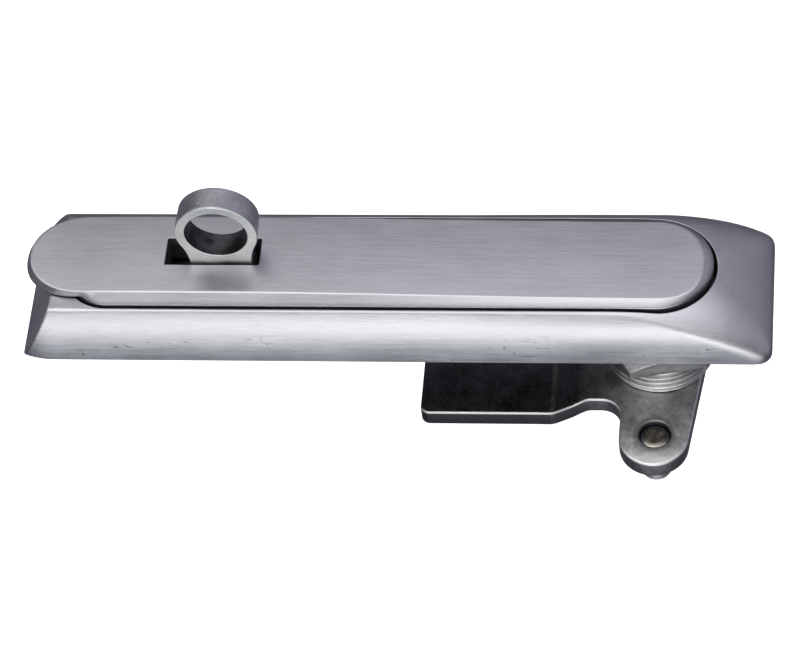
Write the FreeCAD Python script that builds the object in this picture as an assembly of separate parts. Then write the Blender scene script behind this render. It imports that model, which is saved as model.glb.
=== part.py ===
import FreeCAD, Part
import math
import os

# Swing handle latch, in millimetres.
# Origin: the spindle axis on the housing's mounting face, which is z = 0.
# +X runs to the low rounded end, -X along the folded handle, +Z out of the panel.

os.makedirs("parts", exist_ok=True)

Vector = FreeCAD.Vector
UP = Vector(0, 0, 1)
ACROSS = Vector(0, 1, 0)

# Clearances between pieces that move, slide or are pressed together
RUN = 0.05
PRESS = 0.01
SIDE = 0.30
LIFT_GAP = 0.25
RECESS_GAP = 0.85
SLOT_FRONT_GAP = 0.50
SLOT_BACK_GAP = 0.80
BORE_EASE = 0.02

# Housing: outer form
HOUSING_HALF_WIDTH = 16.1
HOUSING_HEIGHT = 11.3
HOUSING_LEFT = -125.2
HOUSING_RIGHT = 22.9
SIDE_FOOT = 0.8
RAIL_HALF_WIDTH = 12.6
LEFT_FACE_SET_BACK = 5.7
LEFT_CORNER = 1.6
RIGHT_CORNER_LOW = 3.0
RIGHT_CORNER_TOP = 11.0
RIGHT_RIM = 1.6
CROWN_START = 5.0
CROWN_BLEND = 1.6
CROWN_STEPS = 5

# Housing: recess for the handle and its floor
RAIL_WIDTH = 0.6
FLOOR = 2.5
RECESS_LEFT = -116.0
RECESS_CORNER = 8.5

# Housing: threaded boss, spindle bore and end fixing
BOSS_RADIUS = 11.0
BOSS_LENGTH = 16.4
BOSS_CHAMFER = 0.7
BORE_RADIUS = 7.0
FLANGE_SEAT_RADIUS = 9.0
FLANGE_SEAT_Z = 0.4
END_FIXING_X = -105.0
END_PAD_RADIUS = 4.4
END_PAD_HEIGHT = 4.0
END_HOLE_RADIUS = 2.1
END_HOLE_CAP = 1.0

# Handle
HANDLE_PROUD = 2.05
HANDLE_THICKNESS = 5.85
HANDLE_BEVEL_WIDTH = 1.5
HANDLE_SLOPE = 0.55
HANDLE_LEVEL_X = -62.0
LIP_LEFT = -123.6
LIP_END_LENGTH = 10.4
LIP_BEVEL_END = 1.0
LIP_BEVEL_SIDE = 0.3
HANDLE_WALL = 2.6
HANDLE_SKIN = 2.4
LIFT_RANGE = 35.0

# Pivot between the spindle's tongue and the handle
PIVOT_DEPTH = 5.75
PIN_RADIUS = 2.0
PIN_END_SET_IN = 0.4
TONGUE_THICKNESS = 6.0
TONGUE_RADIUS = 3.4
EAR_HALF_SPAN = 9.0
POCKET_ROOM = 0.5
POCKET_HEAD_ROOM = 0.35

# Padlock eye
EYE_X = -85.1
EYE_RISE = 8.85
EYE_MID_Y = 0.35
EYE_THICKNESS = 5.5
EYE_RADIUS = 8.15
EYE_HOLE_RADIUS = 6.1
EYE_FOOT_WIDTH = 12.3
EYE_FLANK = 13.0
EYE_BASE_LENGTH = 27.0
EYE_BASE_WIDTH = 11.0
EYE_BASE_THICKNESS = 3.4
EYE_BASE_CORNER = 2.0
SLOT_LEFT_ROOM = 5.1
SLOT_RIGHT_ROOM = 1.35
EYE_SCREW_SPACING = 19.0
EYE_SCREW_RADIUS = 2.0
EYE_SCREW_HEAD_RADIUS = 3.8
EYE_SCREW_LENGTH = 5.4
SCREW_DRIVE_RADIUS = 1.2
SCREW_DRIVE_DEPTH = 1.1

# Spindle
FLANGE_THICKNESS = 1.4
THRUST_WASHER = 0.6
SPINDLE_SQUARE = 8.0
SQUARE_CORNER = 0.8
SEAL_THICKNESS = 1.1
SEAL_HEIGHT = 1.8
SEAL_Z = -7.0
STOP_PIN_RADIUS = 0.8
STOP_PIN_AT = 8.0
STOP_PIN_SINK = 1.5
TURN_RANGE = 90.0

# Mounting nut
NUT_FLATS = 27.0
NUT_THICKNESS = 4.0
NUT_TOP = -2.7
NUT_TURNED = 11.0

# Cam
CAM_GAP = 0.2
CAM_THICKNESS = 3.8
CAM_HUB_RADIUS = 9.3
TONGUE_DROP = 4.0
TONGUE_LEFT = -47.9
TONGUE_HALF_WIDTH = 12.2
TONGUE_CORNER = 1.8
JOGGLE_OUTER = -21.3
JOGGLE_INNER = -14.0
EAR_X = -0.55
EAR_Y = -21.3
EAR_RADIUS = 6.9
EAR_FILLET = 4.0
CAM_EDGE = 0.4
ROD_HOLE_X = -0.35
ROD_HOLE_Y = -20.5
ROD_HOLE_RADIUS = 3.1

# Rod pin
ROD_PIN_RADIUS = 3.0
ROD_PIN_BELOW = 7.9
ROD_COLLAR_RADIUS = 4.6
ROD_COLLAR = 1.6
ROD_HEAD = 3.0
ROD_PIN_CHAMFER = 0.5

# Cam bolt and washers
BOLT_RADIUS = 3.0
BOLT_FLATS = 10.0
BOLT_HEAD = 4.0
BOLT_GRIP = 7.0
WASHER_RADIUS = 6.2
WASHER_THICKNESS = 1.2
SPRING_WASHER_RADIUS = 5.3
SPRING_WASHER = 1.5
SPRING_WASHER_SPLIT = 0.9

# Places worked out from the sizes above
HANDLE_TOP = HOUSING_HEIGHT + HANDLE_PROUD
PIVOT_Z = HANDLE_TOP - PIVOT_DEPTH
EYE_Z = HANDLE_TOP + EYE_RISE
CAM_TOP = -BOSS_LENGTH - CAM_GAP
RECESS_HALF_WIDTH = RAIL_HALF_WIDTH - RAIL_WIDTH
HANDLE_HALF_WIDTH = RECESS_HALF_WIDTH - RECESS_GAP
HANDLE_TOP_HALF_WIDTH = HANDLE_HALF_WIDTH - HANDLE_BEVEL_WIDTH
HANDLE_UNDER = HANDLE_TOP - HANDLE_THICKNESS
HANDLE_BODY_LEFT = RECESS_LEFT + RECESS_GAP
HANDLE_CORNER = RECESS_CORNER - RECESS_GAP
LIP_UNDER = HOUSING_HEIGHT + LIFT_GAP
POCKET_TOP = PIVOT_Z + TONGUE_RADIUS + POCKET_HEAD_ROOM
SLOT_LEFT = EYE_X - EYE_FOOT_WIDTH / 2 - SLOT_LEFT_ROOM
SLOT_RIGHT = EYE_X + EYE_FOOT_WIDTH / 2 + SLOT_RIGHT_ROOM
SLOT_FRONT = EYE_MID_Y - EYE_THICKNESS / 2 - SLOT_FRONT_GAP
SLOT_BACK = EYE_MID_Y + EYE_THICKNESS / 2 + SLOT_BACK_GAP
FLANGE_BOTTOM = FLANGE_SEAT_Z + THRUST_WASHER
FLANGE_TOP = FLANGE_BOTTOM + FLANGE_THICKNESS
SHAFT_RADIUS = BORE_RADIUS - RUN
SEAL_INNER = BORE_RADIUS - SEAL_THICKNESS
CAM_UNDER = CAM_TOP - CAM_THICKNESS
TONGUE_TOP = CAM_TOP - TONGUE_DROP
WASHER_UNDER = CAM_UNDER - WASHER_THICKNESS
SPRING_WASHER_UNDER = WASHER_UNDER - SPRING_WASHER


def save(shape, name):
    """Writes one sub-part's solid or solids."""
    shape.exportStep("parts/" + name + ".step")


def cylinder(radius, bottom, top, x=0.0, y=0.0):
    """An upright cylinder between two heights."""
    return Part.makeCylinder(radius, top - bottom, Vector(x, y, bottom), UP)


def block(x0, x1, y0, y1, z0, z1):
    """A box between two corners."""
    return Part.makeBox(x1 - x0, y1 - y0, z1 - z0, Vector(x0, y0, z0))


def loop(points):
    """A closed wire through points, where a point may be a pair (mid, end) for an arc."""
    edges = []
    start = points[0]
    here = start
    for item in points[1:] + [start]:
        if isinstance(item, tuple):
            edges.append(Part.Arc(here, item[0], item[1]).toShape())
            here = item[1]
        elif here.distanceToPoint(item) > 1e-7:
            edges.append(Part.LineSegment(here, item).toShape())
            here = item
    return Part.Wire(edges)


def raise_wire(wire, height):
    """A solid drawn upwards from a flat wire."""
    return Part.Face(wire).extrude(Vector(0, 0, height))


def rounded_plan(left, right, half_width, left_corner, right_corner, z):
    """A rectangle about the X axis with its own corner radius at each end, at height z."""
    diagonal = math.sqrt(0.5)
    corners = [
        (right, -half_width, right_corner, -1, 1),
        (right, half_width, right_corner, -1, -1),
        (left, half_width, left_corner, 1, -1),
        (left, -half_width, left_corner, 1, 1),
    ]
    points = [Vector(left + left_corner, -half_width, z)]
    for x, y, r, in_x, in_y in corners:
        centre = Vector(x + in_x * r, y + in_y * r, z)
        on_side = Vector(centre.x, y, z)
        on_end = Vector(x, centre.y, z)
        middle = centre - Vector(in_x * r * diagonal, in_y * r * diagonal, 0)
        if in_x == in_y:
            points += [on_end, (middle, on_side)]
        else:
            points += [on_side, (middle, on_end)]
    return loop(points)


def hexagon(flats, bottom, height, turned=0.0):
    """A six-sided prism, with a corner pair at the angle given."""
    radius = flats / math.sqrt(3)
    corners = []
    for index in range(6):
        angle = math.radians(60 * index + turned)
        corners.append(Vector(radius * math.cos(angle), radius * math.sin(angle), bottom))
    return raise_wire(loop(corners), height)


def side_half_width(z):
    """Half the housing's width at a height: a short upright foot, then an arc leaning in to the rail."""
    lean = HOUSING_HALF_WIDTH - RAIL_HALF_WIDTH
    rise = HOUSING_HEIGHT - SIDE_FOOT
    radius = (lean * lean + rise * rise) / (2 * lean)
    above = max(0.0, z - SIDE_FOOT)
    return HOUSING_HALF_WIDTH - radius + math.sqrt(radius * radius - above * above)


def right_corner(z):
    """Plan radius of the right-hand corners, which opens out towards the top."""
    share = max(0.0, z - RIGHT_RIM) / (HOUSING_HEIGHT - RIGHT_RIM)
    return RIGHT_CORNER_LOW + (RIGHT_CORNER_TOP - RIGHT_CORNER_LOW) * share ** CROWN_BLEND


def housing_level(z, right):
    """The housing's outline at one height."""
    left = HOUSING_LEFT + LEFT_FACE_SET_BACK * z / HOUSING_HEIGHT
    return rounded_plan(left, right, side_half_width(z), LEFT_CORNER, right_corner(z), z)


def housing_body():
    """The outer form, lofted through outlines down the arc that crowns the right-hand end."""
    run = HOUSING_RIGHT - CROWN_START
    drop = HOUSING_HEIGHT - RIGHT_RIM
    crown = (run * run + drop * drop) / (2 * drop)
    sweep = math.asin(run / crown)
    levels = []
    for index in range(CROWN_STEPS + 1):
        angle = sweep * index / CROWN_STEPS
        z = HOUSING_HEIGHT - crown * (1 - math.cos(angle))
        levels.append(housing_level(z, CROWN_START + crown * math.sin(angle)))
    levels.append(housing_level(0.0, HOUSING_RIGHT))
    return Part.makeLoft(levels, True, True)


def recess_plan(gap, z):
    """The recess outline drawn in by a gap: a half round at the spindle, rounded corners at the left."""
    half = RECESS_HALF_WIDTH - gap
    left = RECESS_LEFT + gap
    corner = RECESS_CORNER - gap
    return rounded_plan(left, half, half, corner, half * 0.999, z)


def make_housing():
    """Housing with the handle recess, the spindle bore, the boss and the end fixing pad."""
    shape = housing_body()
    recess = raise_wire(recess_plan(0.0, FLOOR), HOUSING_HEIGHT)
    shape = shape.cut(recess)
    boss = cylinder(BOSS_RADIUS, -BOSS_LENGTH, FLOOR)
    low_edge = [edge for edge in boss.Edges if edge.BoundBox.ZMax < -BOSS_LENGTH + RUN]
    boss = boss.makeChamfer(BOSS_CHAMFER, low_edge)
    pad = cylinder(END_PAD_RADIUS, 0.0, FLOOR + END_PAD_HEIGHT, END_FIXING_X)
    shape = shape.fuse([boss, pad])
    end_hole_top = FLOOR + END_PAD_HEIGHT - END_HOLE_CAP
    cuts = [
        cylinder(BORE_RADIUS, -BOSS_LENGTH - 1, FLOOR + 1),
        cylinder(FLANGE_SEAT_RADIUS, FLANGE_SEAT_Z, FLOOR + 1),
        cylinder(STOP_PIN_RADIUS + PRESS, FLANGE_SEAT_Z - STOP_PIN_SINK, FLOOR, STOP_PIN_AT),
        cylinder(END_HOLE_RADIUS, -1.0, end_hole_top, END_FIXING_X),
    ]
    for x in eye_screw_places():
        cuts.append(eye_screw_form(x, RUN))
    return shape.cut(cuts).removeSplitter()


def eye_screw_places():
    """Where the two screws stand, either side of the eye."""
    return [EYE_X - EYE_SCREW_SPACING / 2, EYE_X + EYE_SCREW_SPACING / 2]


def eye_screw_form(x, ease):
    """A countersunk screw standing head down, flush with the mounting face."""
    head_height = EYE_SCREW_HEAD_RADIUS - EYE_SCREW_RADIUS
    head = Part.makeCone(
        EYE_SCREW_HEAD_RADIUS + ease,
        EYE_SCREW_RADIUS + ease,
        head_height,
        Vector(x, EYE_MID_Y, 0),
        UP,
    )
    return head.fuse(cylinder(EYE_SCREW_RADIUS + ease, 0.0, EYE_SCREW_LENGTH + ease, x, EYE_MID_Y))


def make_eye_screws():
    """Two countersunk screws with a hexagon socket, up through the floor into the eye's base."""
    screws = []
    for x in eye_screw_places():
        socket = hexagon(2 * SCREW_DRIVE_RADIUS, -1.0, 1.0 + SCREW_DRIVE_DEPTH)
        socket.translate(Vector(x, EYE_MID_Y, 0))
        screws.append(eye_screw_form(x, 0.0).cut(socket))
    return Part.makeCompound(screws)


def eye_profile():
    """The eye seen from the front: a round head drawn in by two hollow flanks to an upright foot."""
    y = EYE_MID_Y - EYE_THICKNESS / 2
    half = EYE_FOOT_WIDTH / 2
    flank_x = half + EYE_FLANK
    flank_drop = math.sqrt((EYE_RADIUS + EYE_FLANK) ** 2 - flank_x ** 2)
    flank_z = EYE_Z - flank_drop
    lean = math.atan2(flank_drop, flank_x)
    join_x = EYE_RADIUS * math.cos(lean)
    join_z = EYE_Z - EYE_RADIUS * math.sin(lean)
    mid_x = flank_x - EYE_FLANK * math.cos(lean / 2)
    mid_z = flank_z + EYE_FLANK * math.sin(lean / 2)
    return loop(
        [
            Vector(EYE_X - half, y, FLOOR),
            Vector(EYE_X - half, y, flank_z),
            (Vector(EYE_X - mid_x, y, mid_z), Vector(EYE_X - join_x, y, join_z)),
            (Vector(EYE_X, y, EYE_Z + EYE_RADIUS), Vector(EYE_X + join_x, y, join_z)),
            (Vector(EYE_X + mid_x, y, mid_z), Vector(EYE_X + half, y, flank_z)),
            Vector(EYE_X + half, y, FLOOR),
        ]
    )


def make_eye():
    """Ring on a foot that stands on a base plate, screwed down on the recess floor."""
    front = EYE_MID_Y - EYE_THICKNESS / 2
    shape = Part.Face(eye_profile()).extrude(Vector(0, EYE_THICKNESS, 0))
    half_length = EYE_BASE_LENGTH / 2
    half_width = EYE_BASE_WIDTH / 2
    plan = rounded_plan(-half_length, half_length, half_width, EYE_BASE_CORNER, EYE_BASE_CORNER, FLOOR)
    base = raise_wire(plan, EYE_BASE_THICKNESS)
    base.translate(Vector(EYE_X, EYE_MID_Y, 0))
    shape = shape.fuse(base)
    start = Vector(EYE_X, front - 1, EYE_Z)
    hole = Part.makeCylinder(EYE_HOLE_RADIUS, EYE_THICKNESS + 2, start, ACROSS)
    cuts = [hole]
    for x in eye_screw_places():
        cuts.append(eye_screw_form(x, BORE_EASE))
    return shape.cut(cuts).removeSplitter()


def handle_form():
    """The handle's outer form: a bevelled bar in the recess and a thin lip over the housing's end."""
    plan = recess_plan(RECESS_GAP, HANDLE_UNDER)
    bar = raise_wire(plan, HOUSING_HEIGHT - HANDLE_UNDER)
    low = recess_plan(RECESS_GAP, HOUSING_HEIGHT)
    high = sloped(recess_plan(RECESS_GAP + HANDLE_BEVEL_WIDTH, HANDLE_TOP))
    bevel = Part.makeLoft([low, high], True, True)
    lip_low = lip_plan(LIP_BEVEL_END, LIP_BEVEL_SIDE, LIP_UNDER)
    lip = Part.makeLoft([lip_low, sloped(lip_plan(0.0, 0.0, HANDLE_TOP))], True, True)
    return bar.fuse([bevel, lip]).removeSplitter()


def sloped(wire):
    """The top's outline tipped about the Y axis, so that the top falls a little towards the spindle."""
    wire.rotate(Vector(HANDLE_LEVEL_X, 0, HANDLE_TOP), ACROSS, HANDLE_SLOPE)
    return wire


def lip_plan(further, wider, z):
    """Outline of the lip at height z: an elliptical end on a straight-sided plate."""
    half = HANDLE_TOP_HALF_WIDTH + wider
    middle = LIP_LEFT + LIP_END_LENGTH
    right = HANDLE_BODY_LEFT + HANDLE_CORNER + HANDLE_BEVEL_WIDTH
    ellipse = Part.Ellipse(Vector(middle, 0, z), LIP_END_LENGTH + further, half)
    end = Part.ArcOfEllipse(ellipse, math.pi / 2, 3 * math.pi / 2).toShape()
    back = Part.LineSegment(Vector(right, half, z), Vector(middle, half, z)).toShape()
    front = Part.LineSegment(Vector(middle, -half, z), Vector(right, -half, z)).toShape()
    close = Part.LineSegment(Vector(right, -half, z), Vector(right, half, z)).toShape()
    return Part.Wire([back, end, front, close])


def handle_relief():
    """What is cut away under the round end so that it clears the floor when the handle is lifted."""
    angle = math.radians(LIFT_RANGE)
    room = PIVOT_Z - FLOOR - SIDE
    start = room / math.sin(angle) - (PIVOT_Z - HANDLE_UNDER) / math.tan(angle)
    end = HANDLE_HALF_WIDTH + 2
    rise = (end - start) * math.tan(angle)
    half = HANDLE_HALF_WIDTH + 1
    profile = loop(
        [
            Vector(start, -half, HANDLE_UNDER),
            Vector(end, -half, HANDLE_UNDER + rise),
            Vector(end, -half, HANDLE_UNDER - 1),
            Vector(start, -half, HANDLE_UNDER - 1),
        ]
    )
    return Part.Face(profile).extrude(Vector(0, 2 * half, 0))


def handle_pockets():
    """The hollows cast under the bar, either side of the slot's own walls."""
    half = HANDLE_HALF_WIDTH - HANDLE_WALL
    top = HANDLE_TOP - HANDLE_SKIN
    spans = [
        (HANDLE_BODY_LEFT + HANDLE_WALL + HANDLE_CORNER / 2, SLOT_LEFT - HANDLE_WALL),
        (SLOT_RIGHT + HANDLE_WALL, -TONGUE_RADIUS - POCKET_ROOM - 2 * HANDLE_WALL),
    ]
    hollows = []
    for left, right in spans:
        middle = (left + right) / 2
        plan = rounded_plan(left - middle, right - middle, half, HANDLE_WALL, HANDLE_WALL, HANDLE_UNDER - 1)
        hollow = raise_wire(plan, top - HANDLE_UNDER + 1)
        hollow.translate(Vector(middle, 0, 0))
        hollows.append(hollow)
    return hollows


def make_handle():
    """Handle with its padlock slot, cast hollows, pivot ears and the pocket for the spindle's tongue."""
    shape = handle_form().cut(handle_relief())
    start = Vector(0, -EAR_HALF_SPAN, PIVOT_Z)
    ears = Part.makeCylinder(TONGUE_RADIUS, 2 * EAR_HALF_SPAN, start, ACROSS)
    shape = shape.fuse(ears)
    pocket_half = TONGUE_THICKNESS / 2 + SIDE
    pocket = block(
        -TONGUE_RADIUS - POCKET_ROOM,
        TONGUE_RADIUS + 3 * POCKET_ROOM,
        -pocket_half,
        pocket_half,
        PIVOT_Z - TONGUE_RADIUS - 1,
        POCKET_TOP,
    )
    slot = block(SLOT_LEFT, SLOT_RIGHT, SLOT_FRONT, SLOT_BACK, HANDLE_UNDER - 1, HANDLE_TOP + 2)
    reach = HANDLE_HALF_WIDTH + 1
    pin_hole = Part.makeCylinder(PIN_RADIUS + PRESS, 2 * reach, Vector(0, -reach, PIVOT_Z), ACROSS)
    return shape.cut([pocket, slot, pin_hole] + handle_pockets()).removeSplitter()


def make_pivot_pin():
    """Plain pin across the handle's ears and the spindle's tongue."""
    reach = HANDLE_HALF_WIDTH - PIN_END_SET_IN
    return Part.makeCylinder(PIN_RADIUS, 2 * reach, Vector(0, -reach, PIVOT_Z), ACROSS)


def make_spindle():
    """Spindle: round-topped tongue, stop flange, sealed shaft and a square end for the cam."""
    half = TONGUE_THICKNESS / 2
    tongue = Part.makeCylinder(TONGUE_RADIUS, TONGUE_THICKNESS, Vector(0, -half, PIVOT_Z), ACROSS)
    tongue = tongue.fuse(block(-TONGUE_RADIUS, TONGUE_RADIUS, -half, half, FLANGE_BOTTOM, PIVOT_Z))
    flange = cylinder(FLANGE_SEAT_RADIUS - RUN, FLANGE_BOTTOM, FLANGE_TOP)
    shaft = cylinder(SHAFT_RADIUS, CAM_TOP, FLANGE_TOP)
    groove_top = SEAL_Z + SEAL_HEIGHT / 2 + SIDE
    groove_bottom = SEAL_Z - SEAL_HEIGHT / 2 - SIDE
    groove = cylinder(BORE_RADIUS, groove_bottom, groove_top)
    shaft = shaft.cut(groove.cut(cylinder(SEAL_INNER, groove_bottom, groove_top)))
    square = spindle_square(0.0, CAM_UNDER + RUN, CAM_TOP + RUN)
    thread = cylinder(BOLT_RADIUS + BORE_EASE, CAM_UNDER - 1, CAM_UNDER + BOLT_GRIP + 2)
    flange = flange.cut(stop_notch())
    eye = Part.makeCylinder(PIN_RADIUS + RUN, TONGUE_THICKNESS + 2, Vector(0, -half - 1, PIVOT_Z), ACROSS)
    return tongue.fuse([flange, shaft, square]).cut([thread, eye]).removeSplitter()


def spindle_square(ease, bottom, top):
    """The square that carries the cam, with its corners rounded."""
    half = SPINDLE_SQUARE / 2 + ease
    plan = rounded_plan(-half, half, half, SQUARE_CORNER, SQUARE_CORNER, bottom)
    return raise_wire(plan, top - bottom)


def stop_notch():
    """The half round cleared from the flange, which lets it turn a right angle each way past the stop pin."""
    play = math.degrees(math.asin((STOP_PIN_RADIUS + RUN) / STOP_PIN_AT))
    span = 2 * (TURN_RANGE + play)
    start = Vector(0, 0, FLANGE_BOTTOM - 1)
    sector = Part.makeCylinder(FLANGE_SEAT_RADIUS + 1, FLANGE_THICKNESS + 2, start, UP, span)
    sector.rotate(Vector(0, 0, 0), UP, -span / 2)
    return sector


def make_thrust_washer():
    """Washer under the flange, open at one side round the stop pin."""
    top = FLANGE_BOTTOM
    washer = cylinder(FLANGE_SEAT_RADIUS - RUN, FLANGE_SEAT_Z, top)
    washer = washer.cut(cylinder(BORE_RADIUS, FLANGE_SEAT_Z, top))
    gap = STOP_PIN_RADIUS + RUN
    mouth = block(0, FLANGE_SEAT_RADIUS, -gap, gap, FLANGE_SEAT_Z - 1, top + 1)
    return washer.cut(mouth)


def make_stop_pin():
    """Small dowel that stands in the housing and stops the flange."""
    return cylinder(STOP_PIN_RADIUS, FLANGE_SEAT_Z - STOP_PIN_SINK, FLANGE_TOP - RUN, STOP_PIN_AT)


def make_seal_ring():
    """Square-section seal in the spindle's groove."""
    bottom = SEAL_Z - SEAL_HEIGHT / 2
    outer = cylinder(BORE_RADIUS - BORE_EASE, bottom, bottom + SEAL_HEIGHT)
    return outer.cut(cylinder(SEAL_INNER + BORE_EASE, bottom - 1, bottom + SEAL_HEIGHT + 1))


def make_nut():
    """Thin mounting nut, chamfered on its panel side."""
    bottom = NUT_TOP - NUT_THICKNESS
    shape = hexagon(NUT_FLATS, bottom, NUT_THICKNESS, NUT_TURNED)
    corner = NUT_FLATS / math.sqrt(3)
    chamfer_drop = corner - NUT_FLATS / 2 + BORE_EASE
    top = corner - chamfer_drop
    cone = Part.makeCone(top + NUT_THICKNESS, top, NUT_THICKNESS, Vector(0, 0, bottom))
    shape = shape.common(cone)
    return shape.cut(cylinder(BOSS_RADIUS + BORE_EASE, bottom - 1, NUT_TOP + 1))


def cam_plan(z):
    """Hub and tapered ear seen from above, without the tongue."""
    reach = math.hypot(EAR_X, EAR_Y)
    lean = math.atan2(EAR_X, -EAR_Y)
    spread = math.asin((CAM_HUB_RADIUS - EAR_RADIUS) / reach)
    side = math.pi / 2 - spread
    down = -math.pi / 2 + lean
    corners = []
    for turn in (side, -side):
        angle = down + turn
        corners.append((angle, Vector(math.cos(angle), math.sin(angle), 0)))
    ear = Vector(EAR_X, EAR_Y, z)
    hub = Vector(0, 0, z)
    right = corners[0][1]
    left = corners[1][1]
    tip = Vector(math.cos(down), math.sin(down), 0)
    return loop(
        [
            hub + right * CAM_HUB_RADIUS,
            ((hub - tip * CAM_HUB_RADIUS), hub + left * CAM_HUB_RADIUS),
            ear + left * EAR_RADIUS,
            (ear + tip * EAR_RADIUS, ear + right * EAR_RADIUS),
        ]
    )


def cam_tongue():
    """The joggled tongue, bent down from the hub, drawn as a side profile and trimmed in plan."""
    high = CAM_TOP
    low = TONGUE_TOP
    thick = CAM_THICKNESS
    side = -TONGUE_HALF_WIDTH
    profile = loop(
        [
            Vector(0, side, high),
            Vector(JOGGLE_INNER, side, high),
            Vector(JOGGLE_OUTER, side, low),
            Vector(TONGUE_LEFT, side, low),
            Vector(TONGUE_LEFT, side, low - thick),
            Vector(JOGGLE_OUTER, side, low - thick),
            Vector(JOGGLE_INNER, side, high - thick),
            Vector(0, side, high - thick),
        ]
    )
    strip = Part.Face(profile).extrude(Vector(0, 2 * TONGUE_HALF_WIDTH, 0))
    bends = []
    for edge in strip.Edges:
        box = edge.BoundBox
        at_bend = min(abs(box.XMin - JOGGLE_INNER), abs(box.XMin - JOGGLE_OUTER)) < RUN
        if at_bend and box.YLength > TONGUE_HALF_WIDTH and box.XLength < RUN:
            bends.append(edge)
    strip = strip.makeFillet(CAM_THICKNESS / 2, bends)
    ends = []
    for edge in strip.Edges:
        box = edge.BoundBox
        if box.XMax < TONGUE_LEFT + RUN and box.YLength < RUN:
            ends.append(edge)
    return strip.makeFillet(TONGUE_CORNER, ends)


def make_cam():
    """Cam: hub with a square hole, joggled tongue and a tapered ear with the rod hole."""
    hub_and_ear = raise_wire(cam_plan(CAM_UNDER), CAM_THICKNESS)
    middle = Vector(0, 0, CAM_UNDER)
    far = Vector(0, TONGUE_HALF_WIDTH, CAM_UNDER)
    ellipse = Part.Ellipse(far, Vector(CAM_HUB_RADIUS, 0, CAM_UNDER), middle)
    shoulder = raise_wire(Part.Wire([ellipse.toShape()]), CAM_THICKNESS)
    shape = hub_and_ear.fuse([shoulder, cam_tongue()]).removeSplitter()
    corners = []
    for edge in shape.Edges:
        box = edge.BoundBox
        upright = box.XLength < RUN and box.YLength < RUN and box.ZLength > CAM_THICKNESS - RUN
        if upright and box.XMax < 0 and abs(box.YMin + TONGUE_HALF_WIDTH) < 1.0 and box.XMin > JOGGLE_INNER:
            corners.append(edge)
    shape = shape.makeFillet(EAR_FILLET, corners)
    cuts = [
        spindle_square(RUN, CAM_UNDER - 1, CAM_TOP + 1),
        cylinder(ROD_HOLE_RADIUS, CAM_UNDER - 1, CAM_TOP + 1, ROD_HOLE_X, ROD_HOLE_Y),
    ]
    shape = shape.cut(cuts).removeSplitter()
    return shape.makeChamfer(CAM_EDGE, cam_rim(shape))


def cam_rim(shape):
    """The edges round the cam's upper and lower faces, without those of its two holes."""
    rim = []
    for face in shape.Faces:
        flat = face.Surface.TypeId == "Part::GeomPlane" and abs(face.normalAt(0, 0).z) > 0.5
        if flat:
            rim += face.OuterWire.Edges
    kept = []
    for edge in rim:
        twice = [other for other in rim if other.isSame(edge)]
        if len(twice) == 1:
            kept.append(edge)
    return kept


def make_rod_pin():
    """Rod pin: a head pressed into the ear's hole, a collar under the ear and a plain end."""
    head_top = CAM_UNDER + ROD_HEAD
    head = cylinder(ROD_HOLE_RADIUS - PRESS, CAM_UNDER, head_top, ROD_HOLE_X, ROD_HOLE_Y)
    rim = [edge for edge in head.Edges if edge.BoundBox.ZMin > head_top - RUN]
    head = head.makeChamfer(ROD_PIN_CHAMFER, rim)
    collar = cylinder(ROD_COLLAR_RADIUS, CAM_UNDER - ROD_COLLAR, CAM_UNDER, ROD_HOLE_X, ROD_HOLE_Y)
    end = cylinder(ROD_PIN_RADIUS, CAM_UNDER - ROD_PIN_BELOW, CAM_UNDER, ROD_HOLE_X, ROD_HOLE_Y)
    low = [edge for edge in end.Edges if edge.BoundBox.ZMax < CAM_UNDER - ROD_PIN_BELOW + RUN]
    end = end.makeChamfer(ROD_PIN_CHAMFER, low)
    return head.fuse([collar, end]).removeSplitter()


def make_cam_washer():
    """Flat washer over the end of the square."""
    return cylinder(WASHER_RADIUS, WASHER_UNDER, CAM_UNDER).cut(
        cylinder(BOLT_RADIUS + 4 * RUN, WASHER_UNDER - 1, CAM_UNDER + 1)
    )


def make_spring_washer():
    """Split spring washer."""
    ring = cylinder(SPRING_WASHER_RADIUS, SPRING_WASHER_UNDER, WASHER_UNDER)
    ring = ring.cut(cylinder(BOLT_RADIUS + 2 * RUN, SPRING_WASHER_UNDER - 1, WASHER_UNDER + 1))
    half = SPRING_WASHER_SPLIT / 2
    gap = block(-half, half, 0, SPRING_WASHER_RADIUS + 1, SPRING_WASHER_UNDER - 1, WASHER_UNDER + 1)
    return ring.cut(gap)


def make_cam_bolt():
    """Hexagon bolt up into the spindle's end."""
    bottom = SPRING_WASHER_UNDER - BOLT_HEAD
    head = hexagon(BOLT_FLATS, bottom, BOLT_HEAD)
    cone = Part.makeCone(BOLT_FLATS / 2, BOLT_FLATS / 2 + BOLT_HEAD, BOLT_HEAD, Vector(0, 0, bottom))
    return head.common(cone).fuse(cylinder(BOLT_RADIUS, SPRING_WASHER_UNDER, CAM_UNDER + BOLT_GRIP))


MAKERS = {
    "housing": make_housing,
    "handle": make_handle,
    "padlock_eye": make_eye,
    "padlock_eye_screws": make_eye_screws,
    "pivot_pin": make_pivot_pin,
    "spindle": make_spindle,
    "thrust_washer": make_thrust_washer,
    "turn_stop_pin": make_stop_pin,
    "spindle_seal": make_seal_ring,
    "mounting_nut": make_nut,
    "cam": make_cam,
    "rod_pin": make_rod_pin,
    "cam_washer": make_cam_washer,
    "cam_spring_washer": make_spring_washer,
    "cam_bolt": make_cam_bolt,
}

for node_name, maker in MAKERS.items():
    solid = maker()
    save(solid, node_name)
    state = "valid" if solid.isValid() else "INVALID"
    print(node_name, state, len(solid.Solids), "solid(s)", round(solid.Volume, 1))
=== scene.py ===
"""Swing handle latch: the finished pieces, their metals, and a plain studio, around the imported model."""

import math

import bmesh
import bpy
import numpy as np
from mathutils import Matrix, Vector


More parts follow.
